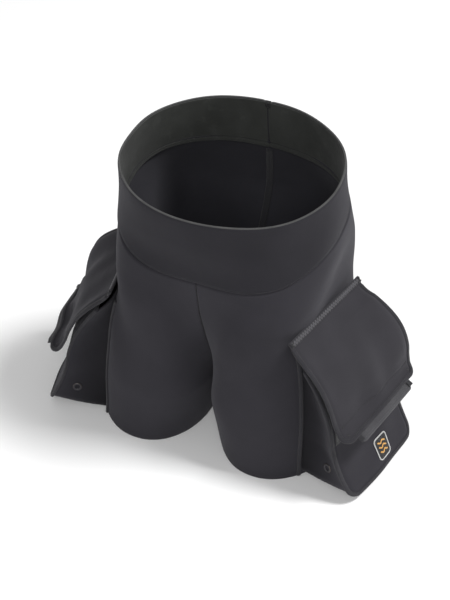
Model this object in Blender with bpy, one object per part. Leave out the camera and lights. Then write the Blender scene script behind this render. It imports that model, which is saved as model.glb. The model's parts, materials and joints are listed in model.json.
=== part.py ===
"""Neoprene diving shorts with two bellows thigh pockets.

The shorts stand upright as worn: +Z is up, the front faces -Y and +X is the
wearer's left.  The hems lie at z = 0, and the origin is on the floor in the
middle of the whole object.  All sizes are in metres.

The pieces are drawn about an axis in front of that origin, MIDDLE_Y away.
Each thigh pocket is drawn in its own frame: t runs back along the thigh, n
points out from it and z is up.
"""
import math

import bpy
import numpy as np

# ---------------------------------------------------------------- dimensions
MIDDLE_Y = 0.0165           # from the drawing axis back to the origin
NEOPRENE = 0.003            # thickness of every neoprene panel
GAP = 0.0003                # clearance between pieces that are sewn together
STAND_OFF = 0.0008          # clearance of a strip that lies on a curved panel
CROTCH_Z = 0.088
LEG_GAP = 0.014             # from the middle plane to the inner hem
LEG_START_Z = 0.300         # the hip starts to part into two legs here

# Body sections: height, half width, front y, back y, squareness and spread,
# which makes the section wider towards the back
SECTIONS = np.array([
    (0.000, 0.188, -0.126, 0.082, 2.1, 0.8),
    (0.060, 0.177, -0.124, 0.091, 2.3, 0.7),
    (0.120, 0.168, -0.119, 0.108, 2.9, 0.6),
    (0.180, 0.160, -0.113, 0.132, 4.0, 0.6),
    (0.235, 0.1495, -0.106, 0.150, 5.4, 0.6),
    (0.280, 0.1515, -0.097, 0.157, 3.8, 0.2),
    (0.320, 0.156, -0.094, 0.158, 2.7, 0.0),
    (0.360, 0.156, -0.100, 0.154, 2.2, 0.0),
    (0.400, 0.152, -0.104, 0.150, 2.1, 0.0),
    (0.445, 0.149, -0.106, 0.147, 2.1, 0.0),
])

RIM_Z, RIM_TILT = 0.420, 0.134
BAND_SEAM_Z, BAND_SEAM_TILT, BAND_SEAM_BOW = 0.350, 0.31, -1.2
BAND_MIDDLE_Y = 0.020
LINING_THICKNESS = 0.0012
LINING_OVERLAP = 0.008      # the lining runs below the outer seam
LINING_SETBACK = 0.0015     # the lining stops short of the rim

TAPE_THICKNESS = 0.001
TAPE_WIDTH = 0.010

POCKET_TURN = math.radians(12)   # the pocket faces out and a little forward
POCKET_T = 0.0215                # middle of the flap along the thigh
PANEL_T = 0.0168                 # middle of the pocket's front panel
FLAP_HALF_TOP, FLAP_HALF_LOW = 0.0840, 0.0885
FLAP_CROWN, FLAP_CORNER, FLAP_BACK_RISE = 0.006, 0.014, 0.020
PANEL_HALF = 0.0790
PANEL_CROWN, PANEL_CORNER = 0.005, 0.017
HINGE_N, HINGE_Z = 0.1520, 0.232
FOLD_N, FOLD_Z = 0.1765, 0.194

# Side views of the flap and of the pocket's front, from top to bottom: n, z
FLAP_PROFILE = np.array([
    (HINGE_N, HINGE_Z), (0.168, 0.216), (0.186, 0.199), (0.203, 0.179),
    (0.215, 0.156), (0.224, 0.134), (0.234, 0.119), (0.248, 0.112)])
FLAP_LENGTH = np.linalg.norm(np.diff(FLAP_PROFILE, axis=0), axis=1).sum()
PANEL_PROFILE = np.array([
    (0.172, 0.201), (0.1925, 0.172), (0.211, 0.140), (0.2205, 0.115),
    (0.227, 0.086), (0.241, 0.047), (0.2605, 0.009)])

BINDING_WIDTH, BINDING_DEPTH = 0.0026, 0.0052
BINDING_GAP = 0.0006        # clearance round the faceted corners
SEAM_STRIP_HEIGHT, SEAM_STRIP_DEPTH = 0.008, 0.0026
HOOK_WIDTH, HOOK_THICKNESS = 0.020, 0.0012
LOOP_TAPE_Z = 0.095
PULL_THICKNESS, PULL_LENGTH, PULL_HALF = 0.0016, 0.019, 0.066
BASE_STRIP_WIDTH, BASE_STRIP_THICKNESS = 0.008, 0.0018
BASE_STRIP_TOP = 0.214
GUSSET_THICKNESS = 0.0022
GUSSET_FOLD = 0.004
LEG_LINE_LOW = (-0.059, 0.084)    # where the gusset meets the hem
LEG_LINE_TOP = (-0.037, 0.099)    # where it ends under the flap
LEG_LINE_TOP_Z = 0.219
EYELET_OUTER, EYELET_BARREL, EYELET_INNER = 0.0068, 0.0048, 0.0036
EYELET_HEIGHT, EYELET_FLANGE = 0.0052, 0.0008
EYELET_FACET = (2, 5)       # the gusset facet that holds the eyelet
BADGE_WIDTH, BADGE_HEIGHT, BADGE_THICKNESS = 0.026, 0.031, 0.0010
BADGE_T, BADGE_Z = 0.025, 0.036
CORD_RADIUS, LOOP_HALF_WIDTH, LOOP_DROP = 0.0022, 0.016, 0.042
ANCHOR_WIDTH, ANCHOR_HEIGHT, ANCHOR_THICKNESS = 0.046, 0.014, 0.0018
LOOP_Z, LOOP_LEAN = 0.158, 0.24

AROUND = 22                 # columns of facets on each half body
ROWS_BELOW, ROWS_ABOVE = 3, 9    # rows of facets below and above the crotch
BAND_ROWS = 5               # rows of facets up the waistband
GUSSET_ROWS = 4             # rows of facets from the leg to the pocket's front

# ----------------------------------------------------------------- materials
COLOURS = {   # name: colour, roughness
    "outer_knit": ((0.033, 0.032, 0.037), 0.85),
    "flap_knit": ((0.050, 0.049, 0.054), 0.85),
    "smooth_skin": ((0.070, 0.074, 0.070), 0.55),
    "seam_tape": ((0.030, 0.030, 0.033), 0.80),
    "edge_binding": ((0.052, 0.053, 0.054), 0.70),
    "webbing": ((0.100, 0.102, 0.098), 0.75),
    "hook_tape": ((0.020, 0.020, 0.021), 0.60),
    "loop_tape": ((0.026, 0.026, 0.027), 0.95),
    "woven_badge": ((0.020, 0.018, 0.015), 0.65),
    "eyelet_brass": ((0.045, 0.045, 0.048), 0.45),
    "shock_cord": ((0.028, 0.028, 0.030), 0.70),
}
METALLIC = {"eyelet_brass": 0.8}


def material(name):
    """The material of a piece, made once."""
    if name in bpy.data.materials:
        return bpy.data.materials[name]
    made = bpy.data.materials.new(name)
    made.use_nodes = True
    colour, roughness = COLOURS[name]
    shader = made.node_tree.nodes["Principled BSDF"]
    shader.inputs["Base Color"].default_value = (*colour, 1.0)
    shader.inputs["Roughness"].default_value = roughness
    shader.inputs["Metallic"].default_value = METALLIC.get(name, 0.0)
    made.diffuse_color = (*colour, 1.0)
    return made


# -------------------------------------------------------------- mesh helpers
def add_solid(name, points, faces, material_name, side=1,
              origin=(0, MIDDLE_Y, 0)):
    """Make one closed body; side -1 mirrors it to the wearer's right."""
    flip = np.array([side, 1, 1])
    shift = np.array([0, MIDDLE_Y, 0])
    origin = (np.array(origin, float) - shift) * flip
    points = (np.array(points, float) - shift) * flip - origin
    if side < 0:
        faces = [face[::-1] for face in faces]
    mesh = bpy.data.meshes.new(name)
    mesh.from_pydata([tuple(point) for point in points], [], faces)
    mesh.materials.append(material(material_name))
    mesh.shade_smooth()
    mesh.set_sharp_from_angle(angle=math.radians(35))
    piece = bpy.data.objects.new(name, mesh)
    piece.location = origin
    bpy.context.collection.objects.link(piece)
    return piece


def grid_faces(rows, columns, start, wrap):
    """Quads over a grid of points stored row by row from index start."""
    last = columns if wrap else columns - 1
    return [(start + i * columns + j,
             start + i * columns + (j + 1) % columns,
             start + (i + 1) * columns + (j + 1) % columns,
             start + (i + 1) * columns + j)
            for i in range(rows - 1) for j in range(last)]


def two_skins(outer, inner, wrap=False):
    """Points and faces of a sheet between two grids of the same shape.

    Rows go along the first index and columns along the second; outward is
    column direction x row direction.
    """
    outer, inner = np.array(outer, float), np.array(inner, float)
    rows, columns = outer.shape[:2]
    count = rows * columns
    faces = grid_faces(rows, columns, 0, wrap)
    faces += [face[::-1] for face in grid_faces(rows, columns, count, wrap)]
    last = columns if wrap else columns - 1
    for j in range(last):
        k = (j + 1) % columns
        top = (rows - 1) * columns
        faces.append((j, count + j, count + k, k))
        faces.append((top + j, top + k, count + top + k, count + top + j))
    if not wrap:
        for i in range(rows - 1):
            a, b = i * columns, (i + 1) * columns
            faces.append((a, b, count + b, count + a))
            a, b = a + columns - 1, b + columns - 1
            faces.append((b, a, count + a, count + b))
    return np.concatenate([outer.reshape(-1, 3), inner.reshape(-1, 3)]), faces


def tube(rings):
    """Points and faces of a rod with end caps, from a list of closed rings."""
    rings = np.array(rings, float)
    rows, columns = rings.shape[:2]
    faces = grid_faces(rows, columns, 0, True)
    faces.append(tuple(range(columns))[::-1])
    faces.append(tuple((rows - 1) * columns + j for j in range(columns)))
    return rings.reshape(-1, 3), faces


def unit(vector):
    return vector / np.linalg.norm(vector)


def directions(path):
    """Unit tangents along a path of points."""
    return np.array([unit(step) for step in np.gradient(path, axis=0)])


def bar(path, across, width, depth):
    """A rectangular rod along a path; across gives its width direction."""
    rings = []
    for point, tangent, side in zip(path, directions(path), across):
        side = unit(side - tangent * side.dot(tangent))
        up = np.cross(tangent, side)
        rings.append([point + side * width / 2 * a + up * depth / 2 * b
                      for a, b in ((-1, -1), (1, -1), (1, 1), (-1, 1))])
    return tube(rings)


def smooth_value(x, knots, values):
    """A smooth curve through a few design points (cubic Hermite)."""
    slopes = np.gradient(values, knots, axis=0)
    i = int(np.clip(np.searchsorted(knots, x) - 1, 0, len(knots) - 2))
    h = knots[i + 1] - knots[i]
    s = min(max((x - knots[i]) / h, 0.0), 1.0)
    return ((1 + 2 * s) * (1 - s) ** 2 * values[i]
            + s * (1 - s) ** 2 * h * slopes[i]
            + s * s * (3 - 2 * s) * values[i + 1]
            + s * s * (s - 1) * h * slopes[i + 1])


def smooth_path(points, fractions):
    """Points at the given fractions of the length of a smooth curve."""
    steps = np.linalg.norm(np.diff(points, axis=0), axis=1)
    knots = np.concatenate([[0], np.cumsum(steps)]) / steps.sum()
    return np.array([smooth_value(f, knots, points) for f in fractions])


# -------------------------------------------------------------- body surface
def squared_ring(middle, half_width, front, back, squareness, angle):
    """A point on a rounded section, from an angle measured from +X."""
    c, s = math.cos(angle), math.sin(angle)
    reach = (abs(c) ** squareness + abs(s) ** squareness) ** (-1 / squareness)
    y = (front + back) / 2 + (back - front) / 2 * s * reach
    return np.array([middle + half_width * c * reach, y])


def body_point(u, z):
    """The outer surface of the left half: u is -1 at the front middle or the
    inner seam, 0 at the side and 1 at the back middle."""
    width, front, back, squareness, spread = smooth_value(
        z, SECTIONS[:, 0], SECTIONS[:, 1:])
    inner = LEG_GAP * max(1 - z / CROTCH_Z, 0.0) ** 0.8
    hip = squared_ring(0, width, front, back, squareness, u * math.pi / 2)
    leg = squared_ring((width + inner) / 2, (width - inner) / 2,
                       front, back, squareness, u * math.pi)
    fall = min(max((LEG_START_Z - z) / (LEG_START_Z - CROTCH_Z), 0.0), 1.0)
    parted = 1 - (1 - fall ** 1.3) ** 0.75
    x, y = (1 - parted) * hip + parted * leg
    x *= 1 + spread * (y - (front + back) / 2)
    return np.array([x, y, z])


def body_normal(u, z):
    """The outward normal of the body surface."""
    step_u, step_z = 0.01, 0.002
    u = min(max(u, step_u - 1), 1 - step_u)
    around = body_point(u + step_u, z) - body_point(u - step_u, z)
    low = max(z - step_z, 0.0)
    up = body_point(u, z + step_z) - body_point(u, low)
    return unit(np.cross(around, up))


def body_offset(u, z, distance):
    """A point off the body surface, kept on the left of the middle plane."""
    point = body_point(u, z) + body_normal(u, z) * distance
    point[0] = max(point[0], GAP / 2)
    return point


def band_seam_z(u):
    """Height of the seam between the waistband and the body."""
    z = BAND_SEAM_Z
    for _ in range(4):
        y = body_point(u, z)[1] - BAND_MIDDLE_Y
        z = BAND_SEAM_Z + BAND_SEAM_TILT * y + BAND_SEAM_BOW * y * y
    return z


def rim_z(u):
    """Height of the tilted rim."""
    return RIM_Z + RIM_TILT * (body_point(u, RIM_Z)[1] - BAND_MIDDLE_Y)


# --------------------------------------------------------------- body pieces
def make_leg_panel(side_name, side):
    """Half of the body: hip, seat and one leg, open along the middle."""
    outer, inner = [], []
    for row in range(ROWS_BELOW + ROWS_ABOVE + 1):
        outer.append([])
        inner.append([])
        for column in range(AROUND + 1):
            u = 2 * column / AROUND - 1
            z = CROTCH_Z * min(row / ROWS_BELOW, 1)
            rise = max(row - ROWS_BELOW, 0) / ROWS_ABOVE
            z += rise * (band_seam_z(u) - GAP / 2 - CROTCH_Z)
            skin = body_offset(u, z, 0)
            lining = body_offset(u, z, -NEOPRENE)
            if row == 0:
                lining[2] = 0
            if abs(u) == 1 and row <= ROWS_BELOW:
                skin[1] += u * -GAP / 2
                lining = skin + np.array([NEOPRENE, 0, 0])
            outer[-1].append(skin)
            inner[-1].append(lining)
    add_solid(f"{side_name}_leg_panel", *two_skins(outer, inner),
              "outer_knit", side)


def ring_point(s, z, distance):
    """A point round the hips: s is 0 at the front and -2 or 2 at the back."""
    point = body_offset(abs(s) - 1, z, distance)
    point[0] *= np.sign(s)
    return point


def make_band(name, material_name, depth, thickness, low, high):
    """A ring round the waist with a butt joint at the back."""
    outer, inner = [], []
    for row in range(BAND_ROWS + 1):
        outer.append([])
        inner.append([])
        for column in range(2 * AROUND + 1):
            s = 2 * column / AROUND - 2
            bottom = band_seam_z(abs(s) - 1) + low
            top = rim_z(abs(s) - 1) - high
            z = bottom + (top - bottom) * row / BAND_ROWS
            outer[-1].append(ring_point(s, z, -depth))
            inner[-1].append(ring_point(s, z, -depth - thickness))
    add_solid(name, *two_skins(outer, inner), material_name)


def make_rise_tape():
    """The tape inside the body's middle seam, from front to crotch to back."""
    inset = NEOPRENE + 2 * STAND_OFF + TAPE_THICKNESS / 2
    path = []
    for u, order in ((-1, 1), (1, -1)):
        top = band_seam_z(u) - LINING_OVERLAP - 0.004
        branch = []
        for z in np.linspace(top, CROTCH_Z + 0.014, 8):
            along = body_point(u, z + 0.002) - body_point(u, z - 0.002)
            inward = unit(np.array([0, -u * along[2], u * along[1]]))
            branch.append(body_point(u, z) * (0, 1, 1) + inward * inset)
        path += branch[::order]
        if u < 0:
            path.append(crotch_top(inset))
    across = [np.array([1.0, 0, 0])] * len(path)
    add_solid("rise_seam_tape",
              *bar(np.array(path), across, TAPE_WIDTH, TAPE_THICKNESS),
              "seam_tape")


def crotch_top(inset):
    """The tape's lowest point, just above the crotch."""
    point = body_point(1, CROTCH_Z)
    return np.array([0, point[1], CROTCH_Z + 1.6 * inset])


def make_inseam_tape(side_name, side):
    """The tape inside one leg, over the inner seam."""
    inset = NEOPRENE + STAND_OFF + TAPE_THICKNESS / 2
    path = [body_point(1, z) + np.array([inset, 0, 0])
            for z in np.linspace(0.004, CROTCH_Z - 0.012, 5)]
    across = [np.array([0, 1.0, 0])] * len(path)
    add_solid(f"{side_name}_inseam_tape",
              *bar(np.array(path), across, TAPE_WIDTH, TAPE_THICKNESS),
              "seam_tape", side)


# -------------------------------------------------------------- pocket frame
def pocket_point(t, n, z):
    """A point from the pocket's frame."""
    c, s = math.cos(POCKET_TURN), math.sin(POCKET_TURN)
    return np.array([n * c + t * s, t * c - n * s, z])


def leg_u_at(t, z):
    """The u of the body surface that lies at t along the thigh."""
    low, high = -0.5, 0.5
    for _ in range(30):
        middle = (low + high) / 2
        x, y, _ = body_point(middle, z)
        if x * math.sin(POCKET_TURN) + y * math.cos(POCKET_TURN) < t:
            low = middle
        else:
            high = middle
    return middle


def leg_surface(t, z, distance):
    """A point off the thigh at t along it."""
    return body_offset(leg_u_at(t, z), z, distance)


def panel_surface(t, z, lift):
    """A point off the outer face of the pocket's front panel."""
    knots, offsets = PANEL_PROFILE[::-1, 1], PANEL_PROFILE[::-1, 0]
    spread = min(abs(t - PANEL_T) / PANEL_HALF, 1)
    n = smooth_value(z, knots, offsets) + PANEL_CROWN * (1 - spread ** 2)
    return pocket_point(t, n + lift, z)


def flap_surface(t, s, lift):
    """A point off the flap's outer face, s up from its lower edge."""
    f = 1 - s / FLAP_LENGTH
    point = smooth_path(FLAP_PROFILE, [f])[0]
    ahead = smooth_path(FLAP_PROFILE, [min(f + 0.02, 1.0)])[0]
    behind = smooth_path(FLAP_PROFILE, [max(min(f, 1) - 0.02, 0.0)])[0]
    along = unit(ahead - behind)
    point = point + along * max(-s, 0)
    spread = min(abs(t - POCKET_T) / FLAP_HALF_LOW, 1)
    crown = FLAP_CROWN * min(max(f, 0), 1) ** 0.7 * (1 - spread ** 2)
    backward = (t - POCKET_T) / FLAP_HALF_LOW / 2 + 0.5
    arch = math.sin(math.pi * min(max(f, 0), 1))
    crown += FLAP_BACK_RISE * backward ** 2 * arch
    point = point + np.array([-along[1], along[0]]) * (lift + crown)
    return pocket_point(t, *point)


def flap_half(s):
    """Half the flap's width at s up from its lower edge."""
    return FLAP_HALF_LOW + (FLAP_HALF_TOP - FLAP_HALF_LOW) * s / FLAP_LENGTH


def u_path(half, top, bottom, radius):
    """A U with round lower corners, front top to back top: (offset, s)."""
    sides = np.linspace(top, bottom + radius, 7)
    turn = np.radians(np.linspace(0, 90, 7))[1:-1]
    floor = np.linspace(-half + radius, half - radius, 9)
    front = [(-half, s) for s in sides]
    front += [(-half + radius * (1 - math.cos(a)),
               bottom + radius * (1 - math.sin(a))) for a in turn]
    back = [(-offset, s) for offset, s in front[::-1]]
    return front + [(offset, bottom) for offset in floor] + back


def corner_inset(s, radius):
    """How far a round corner pulls the side in at s above the lower edge."""
    drop = max(radius - s, 0)
    return radius - math.sqrt(radius ** 2 - drop ** 2)


def edge_levels(top, radius, rows):
    """Levels up a piece, closer together along its round lower corners."""
    turn = np.radians(np.linspace(0, 90, 5))[:-1]
    return [radius * (1 - math.cos(a)) for a in turn] + list(
        np.linspace(radius, top, rows))


# ------------------------------------------------------------- pocket pieces
def patch(surface, t_middle, half, low, high, lift, thickness,
          columns=8, rows=1):
    """A flat strip that lies on a curved surface."""
    skins = [[[surface(t_middle + half * (2 * j / columns - 1),
                       low + (high - low) * i / rows, level)
               for j in range(columns + 1)] for i in range(rows + 1)]
             for level in (lift + thickness, lift)]
    return two_skins(*skins)


def make_panel(side_name, side):
    """The pocket's front panel, with round lower corners."""
    bottom = PANEL_PROFILE[-1, 1]
    height = PANEL_PROFILE[0, 1] - bottom
    columns = 8
    skins = []
    for lift in (0, -NEOPRENE):
        skin = []
        for s in edge_levels(height, PANEL_CORNER, 9):
            half = PANEL_HALF - corner_inset(s, PANEL_CORNER)
            skin.append([panel_surface(
                PANEL_T + half * (2 * j / columns - 1), bottom + s, lift)
                for j in range(columns + 1)])
        skins.append(skin)
    add_solid(f"{side_name}_pocket_panel", *two_skins(*skins),
              "outer_knit", side, fold_origin())


def make_flap(side_name, side):
    """The pocket's flap, with round lower corners."""
    columns = 8
    skins = []
    for lift in (0, -NEOPRENE):
        skin = []
        for s in edge_levels(FLAP_LENGTH - GAP, FLAP_CORNER, 9):
            half = flap_half(s) - corner_inset(s, FLAP_CORNER)
            skin.append([flap_surface(
                POCKET_T + half * (2 * j / columns - 1), s, lift)
                for j in range(columns + 1)])
        skins.append(skin)
    add_solid(f"{side_name}_flap", *two_skins(*skins),
              "flap_knit", side, hinge_origin())


def hinge_origin():
    """The middle of the flap's hinge line."""
    return pocket_point(POCKET_T, HINGE_N, HINGE_Z)


def fold_origin():
    """The middle of the line where the pocket's front folds."""
    return pocket_point(POCKET_T, FOLD_N, FOLD_Z)


def edge_binding(name, surface, middle, outline, half_at, origin, side):
    """A folded tape round a U-shaped edge."""
    path, across = [], []
    for offset, s in outline:
        t = middle + offset * half_at(s)
        path.append(surface(t, s, -NEOPRENE / 2))
        across.append(surface(t, s, 1) - surface(t, s, 0))
    add_solid(name, *bar(np.array(path), across, BINDING_DEPTH,
                         BINDING_WIDTH), "edge_binding", side, origin)


def make_bindings(side_name, side):
    """The bound edges of the flap and of the pocket's front."""
    reach = BINDING_GAP + BINDING_WIDTH / 2
    bottom, top = PANEL_PROFILE[-1, 1], PANEL_PROFILE[0, 1]
    outline = u_path(PANEL_HALF + reach, top, bottom - reach,
                     PANEL_CORNER + reach)
    edge_binding(f"{side_name}_panel_binding", panel_surface, PANEL_T,
                 outline, lambda s: 1, fold_origin(), side)
    outline = u_path(FLAP_HALF_LOW + reach, FLAP_LENGTH - 0.005, -reach,
                     FLAP_CORNER + reach)
    edge_binding(f"{side_name}_flap_binding", flap_surface, POCKET_T,
                 outline, lambda s: flap_half(max(s, 0)) / FLAP_HALF_LOW,
                 hinge_origin(), side)
    z = top + reach
    across_half = PANEL_HALF - 0.001
    path = [panel_surface(t, z, -NEOPRENE / 2) for t in np.linspace(
        PANEL_T - across_half, PANEL_T + across_half, 11)]
    out = pocket_point(0, 1, 0)
    add_solid(f"{side_name}_mouth_binding",
              *bar(np.array(path), [out] * len(path), BINDING_DEPTH,
                   BINDING_WIDTH), "edge_binding", side, fold_origin())


def gusset_point(a, b, f):
    """A point across the gusset: a is its U at the leg and b at the front."""
    inward = pocket_point(POCKET_T, 0, 0.11) - pocket_point(a[0], 0, a[1])
    sag = GUSSET_FOLD * math.sin(math.pi * f)
    return leg_end(a) * (1 - f) + front_end(b) * f + unit(inward) * sag


def leg_end(a):
    """The gusset's edge on the leg, for a point of the U."""
    offset, z = a
    share = z / LEG_LINE_TOP_Z
    front = LEG_LINE_LOW[0] + (LEG_LINE_TOP[0] - LEG_LINE_LOW[0]) * share
    back = LEG_LINE_LOW[1] + (LEG_LINE_TOP[1] - LEG_LINE_LOW[1]) * share
    return leg_surface(front + (back - front) * (offset + 1) / 2, z,
                       2 * STAND_OFF)


def front_end(b):
    """The gusset's edge behind the pocket's front, for a point of the U."""
    return panel_surface(PANEL_T + b[0], b[1],
                         -NEOPRENE - STAND_OFF - GUSSET_THICKNESS / 2)


def gusset_grid():
    """The middle surface of the gusset, U by U from the leg outwards."""
    bottom, top = PANEL_PROFILE[-1, 1], PANEL_PROFILE[0, 1]
    at_leg = u_path(1, LEG_LINE_TOP_Z, 0.0045, 0.012)
    at_front = u_path(PANEL_HALF - 0.002, top - 2 * STAND_OFF, bottom + 0.002,
                      PANEL_CORNER)
    return np.array([[gusset_point(a, b, f) for a, b in zip(at_leg, at_front)]
                     for f in np.linspace(0, 1, GUSSET_ROWS + 1)])


def grid_normals(grid):
    """Unit normals of a grid of points."""
    rows, columns = np.gradient(grid, axis=0), np.gradient(grid, axis=1)
    normals = np.cross(rows, columns)
    return normals / np.linalg.norm(normals, axis=2, keepdims=True)


def cutter(name, points, faces, side):
    """A hidden body that cuts its neighbour."""
    shape = add_solid(name, points, faces, "edge_binding", side)
    shape.hide_render = True
    shape.display_type = "WIRE"
    return shape


def rod(centre, axis, radius, length, segments=16):
    """A straight round rod about its centre."""
    axis = unit(axis)
    side = unit(np.cross(axis, (0, 0, 1)))
    up = np.cross(axis, side)
    angles = np.linspace(0, 2 * math.pi, segments, endpoint=False)
    return tube([[centre + axis * length * end
                  + (side * math.cos(a) + up * math.sin(a)) * radius
                  for a in angles] for end in (-0.5, 0.5)])


def eyelet_place():
    """The centre and direction of the eyelet in the front gusset wall."""
    row, column = EYELET_FACET
    (a, b), (c, d) = gusset_grid()[row:row + 2, column:column + 2]
    return (a + b + c + d) / 4, unit(np.cross(d - a, b - c))


def make_gusset(side_name, side):
    """The folding wall round the pocket, with a hole for the eyelet."""
    grid = gusset_grid()
    shift = grid_normals(grid) * GUSSET_THICKNESS / 2
    gusset = add_solid(f"{side_name}_gusset",
                       *two_skins(grid - shift, grid + shift),
                       "outer_knit", side)
    centre, axis = eyelet_place()
    hole = cutter(f"{side_name}_eyelet_hole",
                  *rod(centre, axis, EYELET_BARREL + GAP, 0.02), side)
    cut = gusset.modifiers.new("eyelet_hole", "BOOLEAN")
    cut.operation = "DIFFERENCE"
    cut.object = hole


def make_eyelet(side_name, side):
    """The drain eyelet: a barrel with a flange on each side of the wall."""
    centre, axis = eyelet_place()
    across = unit(np.cross(axis, (0, 0, 1)))
    up = np.cross(axis, across)
    end, flange = EYELET_HEIGHT / 2, EYELET_FLANGE
    outline = [(EYELET_INNER, end), (EYELET_OUTER, end),
               (EYELET_OUTER, end - flange), (EYELET_BARREL, end - flange),
               (EYELET_BARREL, flange - end), (EYELET_OUTER, flange - end),
               (EYELET_OUTER, -end), (EYELET_INNER, -end)]
    segments = 16
    points = [centre + axis * height + radius * (
        across * math.cos(2 * math.pi * i / segments)
        + up * math.sin(2 * math.pi * i / segments))
        for i in range(segments) for radius, height in outline]
    count = len(outline)
    faces = [(i * count + j, i * count + (j + 1) % count,
              (i + 1) % segments * count + (j + 1) % count,
              (i + 1) % segments * count + j)
             for i in range(segments) for j in range(count)]
    add_solid(f"{side_name}_drain_eyelet", points, faces,
              "eyelet_brass", side)


def make_base_strips(side_name, side):
    """The strips on the leg that bind the gusset's front and back seams."""
    clear = GUSSET_THICKNESS / 2 + STAND_OFF
    for place, which, way in (("front", 0, -1), ("back", 1, 1)):
        skins = []
        for lift in (STAND_OFF + BASE_STRIP_THICKNESS, STAND_OFF):
            skin = []
            for z in np.linspace(0.001, BASE_STRIP_TOP, 12):
                share = z / LEG_LINE_TOP_Z
                line = (LEG_LINE_LOW[which] * (1 - share)
                        + LEG_LINE_TOP[which] * share)
                edges = sorted((line + way * clear,
                                line + way * (clear + BASE_STRIP_WIDTH)))
                skin.append([leg_surface(t, z, lift)
                             for t in np.linspace(*edges, 3)])
            skins.append(skin)
        add_solid(f"{side_name}_{place}_base_strip", *two_skins(*skins),
                  "edge_binding", side)


def make_seam_strip(side_name, side):
    """The stitched strip that joins the flap's top edge to the body."""
    half = FLAP_HALF_TOP + 0.003
    n = HINGE_N - GAP * 4 - SEAM_STRIP_DEPTH / 2
    z = HINGE_Z + GAP * 2 + SEAM_STRIP_HEIGHT / 2
    path = [pocket_point(POCKET_T + end * half, n, z) for end in (-1, 1)]
    up = np.array([0, 0, 1.0])
    add_solid(f"{side_name}_flap_seam_strip",
              *bar(np.array(path), [up, up], SEAM_STRIP_HEIGHT,
                   SEAM_STRIP_DEPTH), "edge_binding", side)


def make_closure(side_name, side):
    """The hook tape inside the flap and the loop tape on the pocket."""
    half = PANEL_HALF - 0.008
    hook = patch(flap_surface, PANEL_T, half, 0.010, 0.010 + HOOK_WIDTH,
                 -NEOPRENE - HOOK_THICKNESS - 1.5 * STAND_OFF,
                 HOOK_THICKNESS, rows=3)
    add_solid(f"{side_name}_hook_tape", *hook, "hook_tape", side,
              hinge_origin())
    loop = patch(panel_surface, PANEL_T, half, LOOP_TAPE_Z,
                 LOOP_TAPE_Z + HOOK_WIDTH, STAND_OFF, HOOK_THICKNESS)
    add_solid(f"{side_name}_loop_tape", *loop, "loop_tape", side,
              fold_origin())


def make_pull_strip(side_name, side):
    """The webbing strip sewn under the flap's lower edge."""
    lift = -(NEOPRENE + BINDING_DEPTH) / 2 - PULL_THICKNESS - STAND_OFF
    strip = patch(flap_surface, POCKET_T, PULL_HALF, 0.008 - PULL_LENGTH,
                  0.008, lift, PULL_THICKNESS, rows=2)
    add_solid(f"{side_name}_pull_strip", *strip, "webbing", side,
              hinge_origin())


def make_badge():
    """A plain woven badge on the left pocket."""
    badge = patch(panel_surface, BADGE_T, BADGE_WIDTH / 2,
                  BADGE_Z - BADGE_HEIGHT / 2, BADGE_Z + BADGE_HEIGHT / 2,
                  STAND_OFF, BADGE_THICKNESS, columns=4)
    add_solid("left_badge", *badge, "woven_badge", 1, fold_origin())


def make_cord_loop(side_name, side):
    """The elastic loop inside the pocket and the tab that holds it."""
    tab = patch(leg_surface, POCKET_T, ANCHOR_WIDTH / 2,
                LOOP_Z - ANCHOR_HEIGHT / 2, LOOP_Z + ANCHOR_HEIGHT / 2,
                STAND_OFF, ANCHOR_THICKNESS, columns=6)
    add_solid(f"{side_name}_loop_anchor", *tab, "webbing", side)
    reach = ANCHOR_THICKNESS + CORD_RADIUS + 2 * STAND_OFF
    straight = LOOP_DROP - LOOP_HALF_WIDTH
    start = LOOP_Z - ANCHOR_HEIGHT / 2 - STAND_OFF
    outline = [(-1, start), (-1, start - straight / 2)]
    outline += [(-math.cos(a), start - straight
                 - LOOP_HALF_WIDTH * math.sin(a))
                for a in np.linspace(0, math.pi, 9)]
    outline += [(1, start - straight / 2), (1, start)]
    top = leg_surface(POCKET_T, LOOP_Z, reach)
    out = pocket_point(0, 1, 0)
    path = []
    for offset, z in outline:
        point = pocket_point(POCKET_T + offset * LOOP_HALF_WIDTH, 0, z)
        hang = top.dot(out) + (LOOP_Z - z) * LOOP_LEAN
        path.append(point + out * hang)
    rings = []
    for point, tangent in zip(path, directions(np.array(path))):
        sideways = np.cross(tangent, out)
        rings.append([point + CORD_RADIUS * (
            out * math.cos(a) + sideways * math.sin(a))
            for a in np.linspace(0, 2 * math.pi, 8, endpoint=False)])
    origin = pocket_point(POCKET_T, 0, start) + out * top.dot(out)
    add_solid(f"{side_name}_cord_loop", *tube(rings), "shock_cord", side,
              origin)


def make_pocket(side_name, side):
    """One thigh pocket."""
    make_panel(side_name, side)
    make_flap(side_name, side)
    make_bindings(side_name, side)
    make_gusset(side_name, side)
    make_eyelet(side_name, side)
    make_base_strips(side_name, side)
    make_seam_strip(side_name, side)
    make_closure(side_name, side)
    make_pull_strip(side_name, side)
    make_cord_loop(side_name, side)


def main():
    for old in list(bpy.data.objects):
        bpy.data.objects.remove(old, do_unlink=True)
    make_band("waistband_outer", "outer_knit", 0, NEOPRENE, GAP / 2, 0)
    make_band("waistband_lining", "smooth_skin", NEOPRENE + STAND_OFF,
              LINING_THICKNESS, -LINING_OVERLAP, LINING_SETBACK)
    make_rise_tape()
    for side_name, side in (("left", 1), ("right", -1)):
        make_leg_panel(side_name, side)
        make_inseam_tape(side_name, side)
        make_pocket(side_name, side)
    make_badge()


main()
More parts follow.
